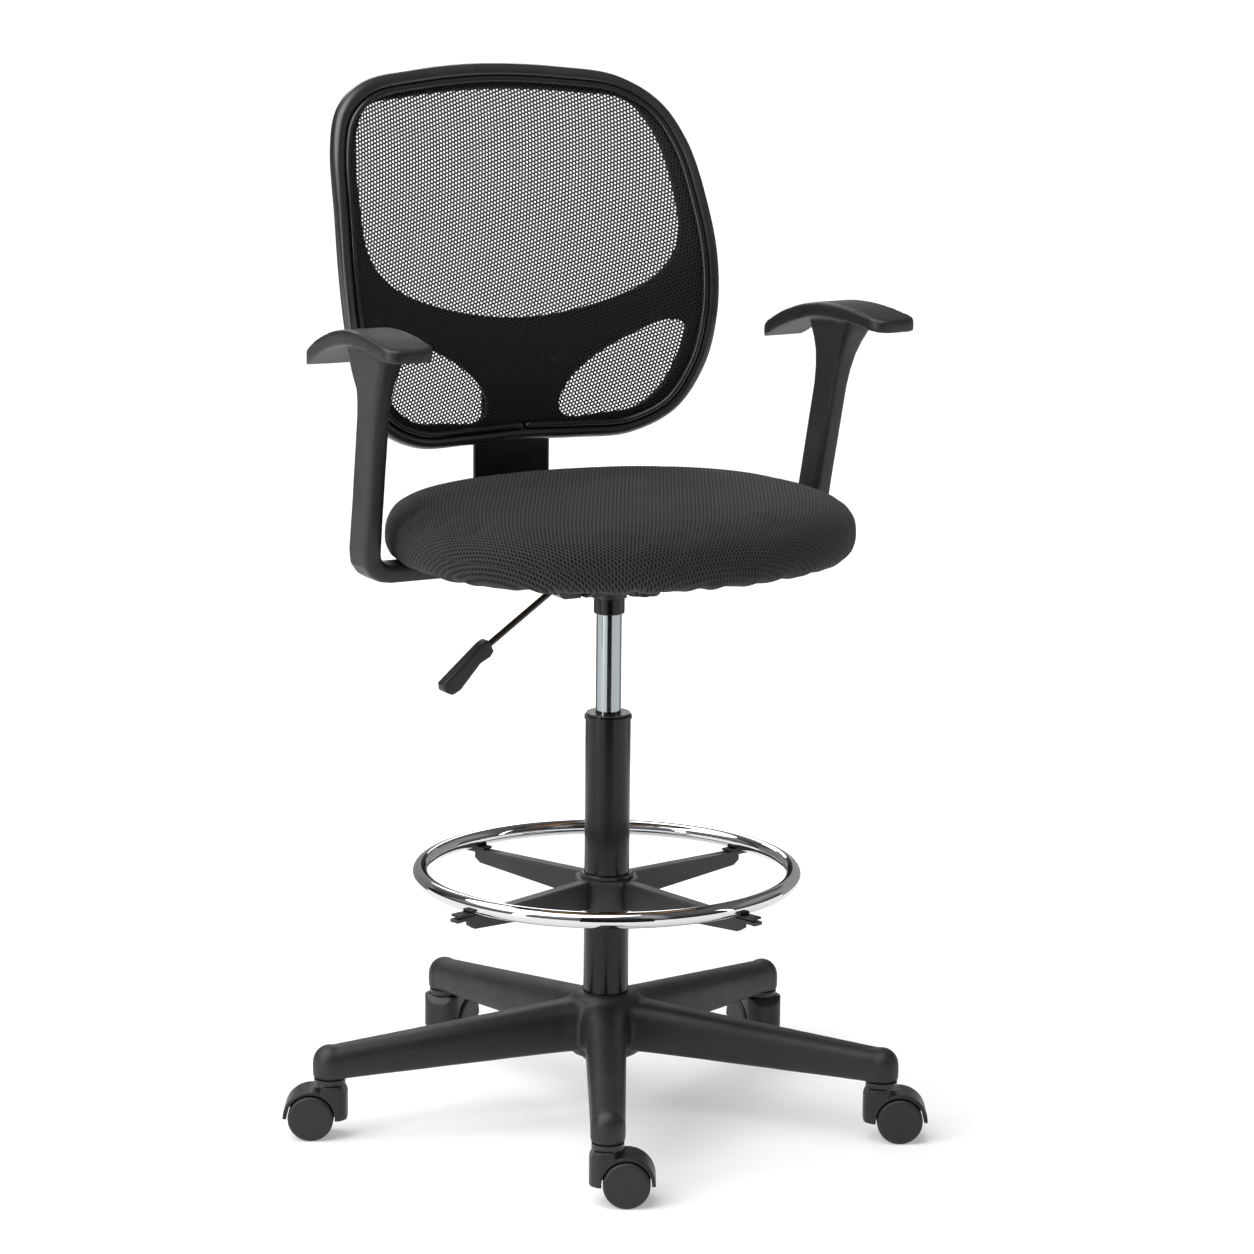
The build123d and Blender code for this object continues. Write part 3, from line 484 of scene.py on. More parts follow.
def bake(piece):
    """Puts the piece's modifiers into its mesh."""
    bpy.context.view_layer.update()
    graph = bpy.context.evaluated_depsgraph_get()
    solid = bpy.data.meshes.new_from_object(piece.evaluated_get(graph))
    piece.modifiers.clear()
    piece.data = solid
    solid.polygons.foreach_set("use_smooth", [True] * len(solid.polygons))
    return piece


def planks(rings, capped=True, first=0):
    """Points and faces that join closed rings of equal count, with the two ends filled."""
    count = len(rings[0])
    points = [p for ring in rings for p in ring]
    faces = []
    for r in range(len(rings) - 1):
        for k in range(count):
            a = first + r * count + k
            b = first + r * count + (k + 1) % count
            faces.append((a, b, b + count, a + count))
    if capped:
        faces.append(tuple(first + k for k in reversed(range(count))))
        faces.append(tuple(first + (len(rings) - 1) * count + k for k in range(count)))
    return points, faces


def melt(piece, voxel_mm, rounds):
    """Unites overlapping solids and rounds what is left."""
    whole = piece.modifiers.new("unite", "REMESH")
    whole.mode = "VOXEL"
    whole.voxel_size = voxel_mm * MM
    soft = piece.modifiers.new("soften", "SMOOTH")
    soft.factor = 0.5
    soft.iterations = rounds
    return bake(piece)


def softened_copy(name, node, finish, voxel_mm, rounds, heights=None):
    """A copy of a rigid part with its edges rounded as a mould leaves them; it replaces the part.

    heights, in metres, press it flat between two levels first.
    """
    mesh = nodes[node].data.copy()
    mesh.materials.clear()
    mesh.polygons.foreach_set("material_index", [0] * len(mesh.polygons))
    if heights:
        for point in mesh.vertices:
            point.co.z = min(max(point.co.z, heights[0]), heights[1])
    piece = bpy.data.objects.new(name, mesh)
    bpy.context.scene.collection.objects.link(piece)
    melt(piece, voxel_mm, rounds)
    piece.data.materials.clear()
    piece.data.materials.append(finish)
    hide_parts(node)
    return piece


print("piece tools ready")

# %% [markdown]
# ## The five-star base
# The base is one moulding of glass-filled nylon: a hub that grips the column, five tapering legs
# with a soft ridge, and a dome over each caster socket. Building each leg as a row of rings gives
# control of its taper. The legs flare where they meet the hub, because a sharp corner would crack.
# The hub's bore is cut last, so that the gas cylinder can come down inside the column.

# %% Base moulding
LEG_ANGLES = [math.radians(-118.9 + 72 * k) for k in range(5)]
LEG_TIP_R = 317


def leg_ring(reach, width, low, high, count=28):
    """One leg section: a full rounded top and flatter sides below."""
    ring = []
    for k in range(count):
        a = 2 * math.pi * (k + 0.5) / count
        c, s = math.cos(a), math.sin(a)
        power = 2 / 2.7 if s > 0 else 2 / 4.5
        side = width / 2 * math.copysign(abs(c) ** power, c)
        rise = (high - low) / 2 * math.copysign(abs(s) ** power, s)
        ring.append((reach, side, (high + low) / 2 + rise))
    return ring


def turned_ring(radius, z, middle, count=48):
    turns = [2 * math.pi * k / count for k in range(count)]
    return [(middle + radius * math.cos(a), radius * math.sin(a), z) for a in turns]


def base_solids():
    points, faces = [], []

    def keep(rings, turn):
        made, joined = planks(rings, first=len(points))
        c, s = math.cos(turn), math.sin(turn)
        points.extend([(x * c - y * s, x * s + y * c, z) for x, y, z in made])
        faces.extend(joined)

    for turn in LEG_ANGLES:
        leg = []
        for reach in (20, 30, 42, 56, 75, 110, 160, 210, 260, 300, 310):
            t = (reach - 20) / 290
            flare = 15 * math.exp(-((reach - 20) / 26) ** 2)
            width = 47 - 10 * t + flare
            leg.append(leg_ring(reach, width, 76 - 10 * t, 134.5 - 32.5 * t))
        keep(leg, turn)
        dome = [turned_ring(17.2, 66, LEG_TIP_R), turned_ring(18.6, 68, LEG_TIP_R),
                turned_ring(18.8, 84, LEG_TIP_R)]
        for k in range(1, 8):
            a = math.pi / 2 * k / 8
            dome.append(turned_ring(18.8 * math.cos(a), 84 + 19.6 * math.sin(a), LEG_TIP_R))
        keep(dome, turn)
    hub = [(36, 68), (40, 72), (41, 90), (41.5, 120), (39, 131), (35.5, 137), (31.5, 139.2)]
    keep([turned_ring(r, z, 0) for r, z in hub], 0)
    return points, faces


points, faces = base_solids()
base_moulding = melt(make_piece("base_moulding", points, faces, base_nylon), 2.6, 9)
bore = make_piece("hub_bore", *planks([turned_ring(25.3, z, 0, 96) for z in (40, 160)]), base_nylon)
cut = base_moulding.modifiers.new("bore", "BOOLEAN")
cut.operation = "DIFFERENCE"
cut.solver = "EXACT"
cut.object = bore
bake(base_moulding)
bpy.data.objects.remove(bore)
base_moulding.data.set_sharp_from_angle(angle=math.radians(55))
base_moulding.data.materials.clear()
base_moulding.data.materials.append(base_nylon)
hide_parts("five_star_base")
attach(base_moulding, "base")
print("base moulding:", len(base_moulding.data.polygons), "faces")

# %% [markdown]
# ## Caster hoods
# Each hood wraps its stem and arches over two wheels. The rigid part has the right size with hard
# edges, so a copy is remeshed finely and smoothed until the edges are as round as the mould's.

# %% Caster hoods
for k in range(1, 6):
    hood = softened_copy(f"caster_hood_shell_{k}", f"caster_hood_{k}", caster_nylon, 1.1, 5)
    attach(hood, f"caster_{k}")
print("hood faces:", len(hood.data.polygons))

# %% [markdown]
# ## Lever paddle and tension spring
# The paddle is a small moulding that slides over the lever's rod, so it is softened the same way.
# The spring that holds the seat level is a real coil: a wire that follows a helix of five turns,
# closed at both ends.

# %% Paddle and coil spring
paddle = softened_copy("lever_paddle_moulding", "lever_paddle", lever_plastic, 1.1, 14)
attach(paddle, "release_lever")


def coil_spring(name, centre, low, high, mean_r, wire_r, turns, finish):
    """A round wire along a helix, as rings of ten points."""
    rings = []
    steps = int(turns * 28)
    for k in range(steps + 1):
        t = k / steps
        climb = min(max((t * turns - 0.8) / (turns - 1.6), 0), 1)
        a = 2 * math.pi * turns * t
        out = Vector((math.cos(a), math.sin(a), 0))
        middle = Vector((*centre, low + wire_r + climb * (high - low - 2 * wire_r))) + out * mean_r
        rings.append([tuple(middle + wire_r * (out * math.cos(b) + Vector((0, 0, 1)) * math.sin(b)))
                      for b in [2 * math.pi * j / 10 for j in range(10)]])
    return make_piece(name, *planks(rings), finish)


spring_low, spring_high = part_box("tension_spring")
spring_middle = (spring_low + spring_high) / 2 / MM
tilt_spring = coil_spring("tilt_spring_coil", (spring_middle.x, spring_middle.y), spring_low.z / MM,
                          spring_high.z / MM, 11, 1.25, 4.5, spring_steel)
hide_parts("tension_spring")
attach(tilt_spring, "seat_lift")
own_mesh(tilt_spring)
print("spring wire 2.5 mm,", round((spring_high.z - spring_low.z) / MM, 1), "mm long")

# %% [markdown]
# ## Clips on the foot ring
# Four small nylon tabs sit between the chrome ring and its spokes, with a screw from below. Seen
# from the side they are thin and flat, so the copies of the rigid parts are pressed flat between
# two heights before their edges are softened.

# %% Clip tabs and screws
clip_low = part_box("ring_clips")[0].z
tab_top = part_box("foot_ring")[0].z + 1.2 * MM
tabs = softened_copy("ring_clip_tabs", "ring_clips", spider_nylon, 0.7, 2,
                     heights=(clip_low, max(tab_top, clip_low + 3 * MM)))
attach(tabs, "foot_ring")
screws = softened_copy("ring_clip_screws", "ring_screws", lever_coat, 0.7, 2,
                       heights=(clip_low - 1.4 * MM, tab_top))
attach(screws, "foot_ring")
print("tabs are", round((tab_top - clip_low) / MM, 1), "mm thick")

# %% [markdown]
# ## Arms
# Each arm is one polypropylene moulding: a foot bar under the seat, a knee, a leaning post that
# spreads out, and an arched pad. There is no seam anywhere, so the whole arm is remeshed in one go
# and smoothed. That also rounds the pad's rim to the radius a hand expects.

# %% Arm mouldings
PAD_START = 868 * MM
PAD_FULL = 884 * MM


def rounder_above(piece, start, full, rounds):
    """Rounds a piece more between two heights in metres: not at all at start, fully at full."""
    group = piece.vertex_groups.new(name="rounder")
    for point in piece.data.vertices:
        group.add([point.index], min(max((point.co.z - start) / (full - start), 0), 1), "REPLACE")
    soft = piece.modifiers.new("rounder", "SMOOTH")
    soft.factor = 0.5
    soft.iterations = rounds
    soft.vertex_group = "rounder"
    bake(piece)
    piece.vertex_groups.clear()


for side in ("left", "right"):
    arm = softened_copy(f"arm_moulding_{side}", f"arm_{side}", arm_plastic, 1.8, 4)
    rounder_above(arm, PAD_START, PAD_FULL, 26)
    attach(arm, "tilting_seat")
    print(side, "arm faces:", len(arm.data.polygons))

# %% [markdown]
# ## Seat cushion
# Foam on a board, with knitted cloth pulled over it and stapled underneath. Cloth simulation makes
# it look filled: the outer skin is remeshed evenly, drawn in a little, blown up from inside with
# gravity off, and stopped before it leaves its place. The hem that is pulled round the board can't
# lie quite even, so the lower edge is given shallow waves afterwards, and finally each point keeps
# a note of where it lay on the flat cloth, so that the knit doesn't stretch on the sides.

# %% Cushion blank
SEAT_HALF_WIDTH = 261
SEAT_HALF_DEPTH = 231
SEAT_MIDDLE_Y = -24
SEAT_CORNER_POWER = 2.25
SEAT_CENTRE = Vector((0, SEAT_MIDDLE_Y, 660)) * MM
SEAT_HALF = Vector((SEAT_HALF_WIDTH, SEAT_HALF_DEPTH, 0)) * MM
SEAT_TOP = 703 * MM
DRAWN_IN = 0.988
MOST_SWELLING = 3.5 * MM
CUSHION_LEVELS = [(636.4, 62), (635.4, 46), (632.8, 32), (631.4, 22), (633.2, 12), (640, 4), (650, 0),
                  (665, 0), (676, 2.5), (685, 10), (693, 25), (699, 52), (702, 92), (703, 138),
                  (703.2, 190)]


def plan_radius(x, y):
    """1 on the seat's outline, 0 at its middle."""
    across = np.abs(x / SEAT_HALF.x) ** SEAT_CORNER_POWER
    along = np.abs((y - SEAT_CENTRE.y) / SEAT_HALF.y) ** SEAT_CORNER_POWER
    return (across + along) ** (1 / SEAT_CORNER_POWER)


def seat_ring(z, inset, count=120):
    """One level of the pad: an oval with full corners."""
    ring = []
    for k in range(count):
        x, y = math.cos(2 * math.pi * k / count), math.sin(2 * math.pi * k / count)
        reach = (abs(x) ** SEAT_CORNER_POWER + abs(y) ** SEAT_CORNER_POWER) ** (-1 / SEAT_CORNER_POWER)
        ring.append(((SEAT_HALF_WIDTH - inset) * reach * x,
                     SEAT_MIDDLE_Y + (SEAT_HALF_DEPTH - inset) * reach * y, z))
    return ring


def points_of(mesh):
    flat = np.empty(len(mesh.vertices) * 3)
    mesh.vertices.foreach_get("co", flat)
    return flat.reshape(-1, 3)


blank = planks([seat_ring(z, inset) for z, inset in CUSHION_LEVELS])
cushion = melt(make_piece("seat_cushion_upholstered", *blank, seat_cloth), 5, 2)
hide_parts("seat_cushion")
drawn = points_of(cushion.data)
drawn[:, 0] *= DRAWN_IN
drawn[:, 1] = SEAT_CENTRE.y + (drawn[:, 1] - SEAT_CENTRE.y) * DRAWN_IN
cushion.data.vertices.foreach_set("co", drawn.ravel())
print("cushion blank:", len(drawn), "points")

# %% Inflate the cushion
cloth = cushion.modifiers.new("stuffing", "CLOTH")
cloth.settings.use_pressure = True
cloth.settings.uniform_pressure_force = 4
cloth.settings.quality = 5
cloth.settings.mass = 0.3
cloth.settings.tension_stiffness = 25
cloth.settings.compression_stiffness = 25
cloth.settings.bending_stiffness = 1.5
cloth.settings.effector_weights.gravity = 0
for step in range(1, 21):
    bpy.context.scene.frame_set(step)
bake(cushion)
bpy.context.scene.frame_set(1)
blown = points_of(cushion.data)
move = blown - drawn
length = np.linalg.norm(move, axis=1, keepdims=True)
blown = drawn + move * np.minimum(1, MOST_SWELLING / np.maximum(length, 1e-9))
under = (plan_radius(blown[:, 0], blown[:, 1]) < 0.8) & (blown[:, 2] < 0.65)
blown[under, 2] = np.maximum(blown[under, 2], 0.6362)
print("largest swelling in mm:", round(float(length.max()) / MM, 1))

# %% Hem waves and flat cloth places
WAVE_HEIGHT = 2.6 * MM
BAR_Y = 38 * MM
BAR_HALF = 34 * MM
BAR_INNER_X = 110 * MM


def hem_waves(points):
    """Shallow puckers round the lower edge, and the lift where the cloth passes over an arm's bar."""
    x, y, z = points.T
    angle = np.arctan2(y - SEAT_CENTRE.y, x)
    radius = plan_radius(x, y)
    edge = np.clip((0.656 - z) / 0.020, 0, 1) * np.clip((radius - 0.80) / 0.08, 0, 1)
    wave = (np.sin(angle * 37 + 0.6) + 0.7 * np.sin(angle * 53 + 2.1)
            + 0.6 * np.sin(angle * 23 + 4.0)) / 2.3
    moved = points.copy()
    moved[:, 2] += edge * wave * WAVE_HEIGHT
    moved[:, 0] *= 1 + edge * wave * 0.006
    moved[:, 1] = SEAT_CENTRE.y + (moved[:, 1] - SEAT_CENTRE.y) * (1 + edge * wave * 0.006)
    over_bar = (np.clip((BAR_HALF - np.abs(y - BAR_Y)) / 0.010, 0, 1)
                * np.clip((np.abs(x) - BAR_INNER_X) / 0.015, 0, 1))
    lifted = np.maximum(moved[:, 2], 0.6368)
    moved[:, 2] = np.where(z < 0.66, moved[:, 2] + over_bar * (lifted - moved[:, 2]), moved[:, 2])
    return moved


cushion.data.vertices.foreach_set("co", hem_waves(blown).ravel())
finer = cushion.modifiers.new("finer", "SUBSURF")
finer.levels = finer.render_levels = 1
bake(cushion)
cushion.data.materials.clear()
cushion.data.materials.append(seat_cloth)
place = points_of(cushion.data)
radius = np.maximum(plan_radius(place[:, 0], place[:, 1]), 1e-6)
from_middle = np.hypot(place[:, 0], place[:, 1] - SEAT_CENTRE.y)
drop = np.clip(SEAT_TOP - place[:, 2], 0, None)
tucked = np.where(place[:, 2] < 0.660, np.clip(1 - radius, 0, 1) / radius * from_middle, 0)
spread = 1 + (0.85 * drop * np.clip((radius - 0.5) * 2, 0, 1) + tucked) / np.maximum(from_middle, 0.02)
flat_cloth = np.column_stack([place[:, 0] * spread, (place[:, 1] - SEAT_CENTRE.y) * spread,
                              np.zeros(len(place))])
note = cushion.data.attributes.new("cloth_place", "FLOAT_VECTOR", "POINT")
note.data.foreach_set("vector", flat_cloth.ravel())
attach(cushion, "tilting_seat")
print("cushion points:", len(place), "top at", round(float(place[:, 2].max()) / MM, 1), "mm")

# %% [markdown]
# ## The back's surface
# The whole back lies on one double-curved sheet: it bows forward at the small of the back and its
# sides wrap round the sitter. Everything on it is drawn flat, in X and Z, and then pushed to that
# sheet, so the rim, the bead, the cloth and the windows always agree.

# %% Outlines on a bowed sheet
def back_depth(x, z):
    return 193 + (z - 836) ** 2 / 882 - x * x / 2165


def on_back(x, z, depth):
    return (x, back_depth(x, z) + depth, z)


def smooth_outline(points, per_span=16):
    """A closed smooth line through the points, as a long list of X and Z."""
    p = np.array(points, float)
    drawn = []
    for k in range(len(p)):
        a, b, c, d = p[k - 1], p[k], p[(k + 1) % len(p)], p[(k + 2) % len(p)]
        knots = [0.0]
        for near, far in ((a, b), (b, c), (c, d)):
            knots.append(knots[-1] + math.sqrt(np.linalg.norm(far - near)))
        for step in range(per_span):
            t = knots[1] + (knots[2] - knots[1]) * step / per_span
            ab = a + (b - a) * (t - knots[0]) / (knots[1] - knots[0])
            bc = b + (c - b) * (t - knots[1]) / (knots[2] - knots[1])
            cd = c + (d - c) * (t - knots[2]) / (knots[3] - knots[2])
            abc = ab + (bc - ab) * (t - knots[0]) / (knots[2] - knots[0])
            bcd = bc + (cd - bc) * (t - knots[1]) / (knots[3] - knots[1])
            drawn.append(abc + (bcd - abc) * (t - knots[1]) / (knots[2] - knots[1]))
    return np.array(drawn)


def inward(outline):
    """Unit steps towards the middle at each point of a clockwise outline."""
    along = np.roll(outline, -1, 0) - np.roll(outline, 1, 0)
    along /= np.linalg.norm(along, axis=1, keepdims=True)
    return np.column_stack([along[:, 1], -along[:, 0]])


def both_halves(half):
    return half + [(-x, z) for x, z in reversed(half) if x > 0.01]


BACK_HALF = [(0, 1145.5), (90, 1140.5), (160, 1129.5), (202, 1102), (223, 1060), (234, 985),
             (237.5, 925), (233, 862), (218, 803), (187, 754), (135, 729), (70, 727), (0, 729)]
UPPER_HALF = [(0, 1118), (110, 1112), (163, 1103), (188, 1070), (199.5, 1000), (196, 945), (168, 911),
              (100, 883), (0, 869)]
EYE = [(46, 765), (53, 790), (80, 816), (130, 843), (180, 859), (198, 852), (189, 815), (170, 781),
       (140, 759), (100, 754), (58, 753)]
back_line = smooth_outline(both_halves(BACK_HALF))
upper_line = smooth_outline(both_halves(UPPER_HALF))
right_line = smooth_outline(EYE)
left_line = right_line[::-1] * np.array([-1, 1])
windows = [upper_line, right_line, left_line]
print("back is", *[round(v) for v in np.ptp(back_line, axis=0)], "mm wide and high")

# %% [markdown]
# ## Rim, bead and window lips
# The rim is the back frame's deep rounded border. Inside it a glossier bead clamps the cloth, and
# its two ends meet at the bottom, with a small gap. Both are a section drawn once and carried
# round the outline. The section's points say how far in from the edge and how far behind the cloth.

# %% Carry a section round an outline
def carried_section(name, outline, section, finish, gap_mm=0):
    """section is a list of (inset, depth). A gap opens the ring at the bottom middle."""
    steps = inward(outline)
    order = list(range(len(outline)))
    if gap_mm:
        low = int(np.argmin(np.abs(outline[:, 0]) + 1000 * (outline[:, 1] > 800)))
        order = order[low + 1:] + order[:low]
    rings = []
    for k in order:
        ring = []
        for inset, depth in section:
            x, z = outline[k] + steps[k] * inset
            ring.append(on_back(x, z, depth))
        rings.append(ring)
    if gap_mm:
        for ring, sign in ((rings[0], -1), (rings[-1], 1)):
            middle = sum(p[0] for p in ring) / len(ring)
            for k, (x, y, z) in enumerate(ring):
                ring[k] = (x - middle + sign * gap_mm / 2, y, z)
        points, faces = planks(rings)
    else:
        points, faces = planks(rings + [rings[0]], capped=False)
        count = len(section)
        last = len(rings) * count
        points = points[:last]
        faces = [tuple(i % last for i in face) for face in faces]
    piece = make_piece(name, points, faces, finish)
    finer = piece.modifiers.new("finer", "SUBSURF")
    finer.levels = finer.render_levels = 1
    return bake(piece)


RIM_SECTION = [(0.0, 3), (0.5, -2.5), (2.6, -5.8), (6, -7.2), (9.5, -6.9), (12.4, -5.2), (13.9, -2.4),
               (14.3, 1.0), (14.2, 4.8), (11.6, 5.4), (10.8, 9), (9.6, 12.4), (6.8, 14), (3.2, 13.6),
               (0.9, 10.8)]
BEAD_SECTION = [(14.0, -1.4), (14.1, -4.6), (15.3, -7.0), (17.4, -8.0), (19.6, -7.0), (20.9, -4.6),
                (21.0, -2.0), (17.5, -1.6)]
bead_gloss = moulded_plastic("bead_smooth_plastic", "#1a1a1c", "#3c3c40", 0.24, 1.2, 0.006)
# The rim is the frame's nylon drawn paler and with a higher IOR: painted highlight along its ridge.
rim_lit_plastic = moulded_plastic("rim_plastic_painted_highlight", "#222224", "#4a4a4e", 0.30, 0.9, 0.008, ior=1.6)
rim = carried_section("back_rim", back_line, RIM_SECTION, rim_lit_plastic)
bead = carried_section("back_clamp_bead", back_line, BEAD_SECTION, bead_gloss, gap_mm=1.4)
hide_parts("back_trim")
for piece in (rim, bead):
    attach(piece, "tilting_seat")
LIP_SECTION = [(0.0, 0.7), (-0.1, 9.0), (-1.0, 10.8), (-2.6, 11.4), (-4.2, 10.6), (-4.8, 8.8),
               (-3.0, 1.2)]
for name, line in zip(("upper", "right", "left"), windows):
    lip = carried_section(f"window_lip_{name}", line, LIP_SECTION, back_plastic)
    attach(lip, "tilting_seat")
print("rim faces:", len(rim.data.polygons), "bead faces:", len(bead.data.polygons))

# %% [markdown]
# ## Shell plate
# Behind the cloth, a thin moulded plate joins the rim to the bracket, with three windows cut out.
# A flat region with holes is best filled with triangles: the outlines are fixed edges, a staggered
# grid of points fills the middle, and the sheet is then bowed and given its wall thickness.

# %% Fill a region between outlines
def inside(points, outline):
    """Which points lie inside a closed outline."""
    hit = np.zeros(len(points), bool)
    x, z = points[:, 0], points[:, 1]
    for (x0, z0), (x1, z1) in zip(outline, np.roll(outline, -1, 0)):
        if z0 != z1:
            crosses = ((z0 > z) != (z1 > z)) & (x < (x1 - x0) * (z - z0) / (z1 - z0) + x0)
            hit ^= crosses
    return hit


def staggered_points(outline, step, turn_deg=0):
    """A staggered grid over the outline's box, turned about the middle of the back."""
    turn = math.radians(turn_deg)
    reach = 420
    rows = []
    for r in range(int(-reach / (step * 0.866)), int(reach / (step * 0.866)) + 1):
        x = np.arange(-reach, reach, step) + (r % 2) * step / 2
        rows.append(np.column_stack([x, np.full(len(x), r * step * 0.866)]))
    grid = np.concatenate(rows)
    c, s = math.cos(turn), math.sin(turn)
    grid = grid @ np.array([[c, s], [-s, c]]) + np.array([0, 936])
    low, high = outline.min(0) - step, outline.max(0) + step
    return grid[((grid > low) & (grid < high)).all(1)]


def filled_region(outer, holes, step):
    """Flat points and triangles between an outline and its holes."""
    loops = [outer] + holes
    points, edges = [], []
    for loop in loops:
        first = len(points)
        points += [Vector(p) for p in loop]
        edges += [(first + k, first + (k + 1) % len(loop)) for k in range(len(loop))]
    grid = staggered_points(outer, step)
    keep = inside(grid, outer)
    for hole in holes:
        keep &= ~inside(grid, hole)
    rims = np.concatenate(loops)
    grid = grid[keep]
    clear = np.array([np.min(np.hypot(*(rims - g).T)) > step * 0.45 for g in grid])
    points += [Vector(g) for g in grid[clear]]
    corners, _, triangles, *_ = delaunay_2d_cdt(points, edges, [], 0, 1e-5)
    corners = np.array([tuple(v) for v in corners])
    triangles = np.array([list(t) for t in triangles])
    middles = corners[triangles].mean(1)
    keep = inside(middles, outer)
    for hole in holes:
        keep &= ~inside(middles, hole)
    return corners, triangles[keep]


def line_area(outline):
    x, z = outline[:, 0], outline[:, 1]
    return float(abs(np.dot(x, np.roll(z, -1)) - np.dot(z, np.roll(x, -1))) / 2)


def bowed_piece(name, corners, triangles, depth, finish):
    used = np.unique(triangles)
    index = {old: new for new, old in enumerate(used)}
    points = [on_back(x, z, depth) for x, z in corners[used]]
    return make_piece(name, points, [tuple(index[i] for i in t) for t in triangles], finish)


plate_line = back_line + inward(back_line) * 12.5
corners, triangles = filled_region(plate_line, windows, 14)
# The plate's darker, duller finish is painted shade behind the mesh cloth.
plate = bowed_piece("back_shell_plate", corners, triangles, 2.8, plate_shade_plastic)
wall = plate.modifiers.new("wall", "SOLIDIFY")
wall.thickness = 2.8 * MM
wall.offset = -1
bake(plate)
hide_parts("back_shell")
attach(plate, "tilting_seat")
print("plate triangles:", len(triangles))

# %% [markdown]
# ## Ribs and boss behind the shell
# The steel bracket is screwed to a boss on the shell, and two ribs carry its load outward in a Y
# shape. They are rows of rounded sections again: the boss along Y, the ribs along the sheet. The
# bracket is a pressed strip. Its top end is cut narrower than the rest, so that it doesn't show in
# the windows beside it, and this copy of the rigid part has that cut and softly rolled edges.

# %% Boss and ribs
def rounded_box_ring(half_x, low, high, corner, y_of, count=10):
    ring = []
    for cx, cz, start in ((half_x - corner, high - corner, 0), (-half_x + corner, high - corner, 90),
                          (-half_x + corner, low + corner, 180), (half_x - corner, low + corner, 270)):
        for k in range(count):
            a = math.radians(start + 90 * k / (count - 1))
            x, z = cx + corner * math.cos(a), cz + corner * math.sin(a)
            ring.append((x, y_of(x, z), z))
    return ring


boss_rings = [rounded_box_ring(38, 742, 826, 12, lambda x, z: back_depth(x, z) + 4.5),
              rounded_box_ring(37, 744.5, 823.5, 11, lambda x, z: back_depth(x, z) + 8),
              rounded_box_ring(36.5, 745.5, 822.5, 10, lambda x, z: 222.0),
              rounded_box_ring(36, 746, 822, 9.5, lambda x, z: 224.6),
              rounded_box_ring(35, 747, 821, 8.5, lambda x, z: 225.4)]
boss = make_piece("bracket_boss", *planks(boss_rings), back_plastic)
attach(boss, "tilting_seat")


CUT_FROM_Z = 728 * MM
CUT_FULL_OVER = 24 * MM
KEPT_HALF_WIDTH = 32 * MM
bracket = softened_copy("bracket_strip", "back_bracket", pressed_coat, 1.5, 2)
spots = points_of(bracket.data)
cut = (np.clip((spots[:, 2] - CUT_FROM_Z) / CUT_FULL_OVER, 0, 1)
       * np.clip(np.abs(spots[:, 0]) - KEPT_HALF_WIDTH, 0, None) * 0.62)
spots[:, 0] -= np.sign(spots[:, 0]) * cut
bracket.data.vertices.foreach_set("co", spots.ravel())
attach(bracket, "tilting_seat")
print("bracket strip:", len(spots), "points")


def shell_rib(name, line, width, height):
    """A tapering half-round rib along a flat line of X and Z points."""
    line = np.array(line, float)
    rings = []
    for k, (x, z) in enumerate(line):
        along = line[min(k + 1, len(line) - 1)] - line[max(k - 1, 0)]
        along /= np.linalg.norm(along)
        side = np.array([along[1], -along[0]])
        size = 1 - 0.75 * (k / (len(line) - 1)) ** 2
        ring = []
        for j in range(12):
            a = 2 * math.pi * j / 12
            px, pz = np.array([x, z]) + side * math.cos(a) * width / 2
            ring.append(on_back(px, pz, 4.2 + size * height * max(math.sin(a), -0.2)))
        rings.append(ring)
    piece = make_piece(name, *planks(rings), back_plastic)
    finer = piece.modifiers.new("finer", "SUBSURF")
    finer.levels = finer.render_levels = 1
    return bake(piece)


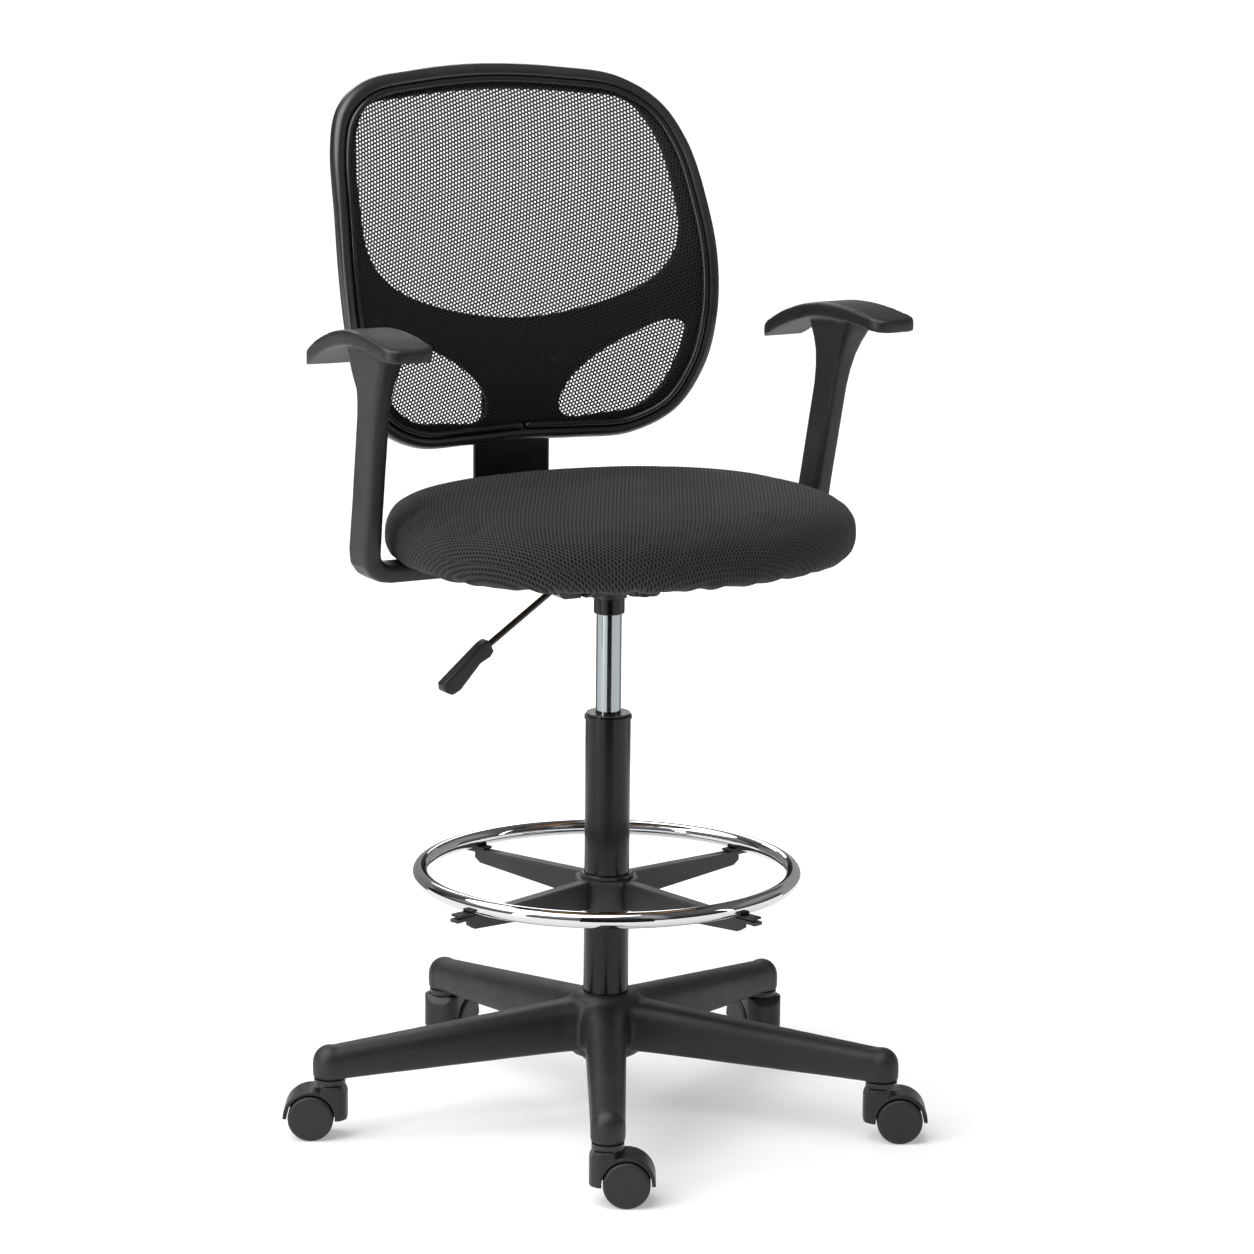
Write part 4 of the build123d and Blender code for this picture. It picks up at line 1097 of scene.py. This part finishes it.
for side, name in ((1, "right"), (-1, "left")):
    path = [(side * (22 + 150 * t + 25 * t * t), 815 + 62 * t + 12 * t * t)
            for t in np.linspace(0, 1, 14)]
    rib = shell_rib(f"shell_rib_{name}", path, 9, 7)
    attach(rib, "tilting_seat")
print("boss and two ribs added")

# %% [markdown]
# ## The back's open mesh
# One knitted mesh covers the whole back. Over the plate its holes look black, and in the windows
# light comes through. A flat picture of holes would fail at a glance from the side, so each hole is
# real: a six-sided ring of yarn per hole, in staggered rows that run slightly uphill. Neighbouring
# rings share their corners, which keeps it one cloth and keeps the mesh small.

# %% Cut the mesh cloth
NET_DEPTH = -1.0
cloth_line = back_line + inward(back_line) * 15.5


def open_net(name, outline, hole_share):
    """Six-sided cells with a real hole in each; hole_share is the hole's size against its cell."""
    centres = staggered_points(outline, NET_PITCH, NET_TURN_DEG)
    centres = centres[inside(centres, outline)]
    cell_r = NET_PITCH / math.sqrt(3)
    found, points, faces = {}, [], []

    def shared_corner(x, z):
        for dx in (0, 0.04, -0.04):
            for dz in (0, 0.04, -0.04):
                key = (round((x + dx) * 10), round((z + dz) * 10))
                if key in found:
                    return found[key]
        found[(round(x * 10), round(z * 10))] = len(points)
        points.append(on_back(x, z, NET_DEPTH))
        return len(points) - 1

    turns = [math.radians(NET_TURN_DEG + 30 + 60 * k) for k in range(6)]
    for cx, cz in centres:
        outer = [shared_corner(cx + cell_r * math.cos(a), cz + cell_r * math.sin(a)) for a in turns]
        first = len(points)
        hole_r = cell_r * hole_share
        points.extend(on_back(cx + hole_r * math.cos(a), cz + hole_r * math.sin(a), NET_DEPTH)
                      for a in turns)
        for k in range(6):
            after = (k + 1) % 6
            faces.append((outer[k], outer[after], first + after, first + k))
    return make_piece(name, points, faces, net_yarn)


back_cover = open_net("back_mesh_cloth", cloth_line, 0.54)
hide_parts("back_mesh")
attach(back_cover, "tilting_seat")
print("holes in the mesh:", len(back_cover.data.polygons) // 6,
      "cut from", round(line_area(cloth_line) * MM * MM, 4), "square metres")
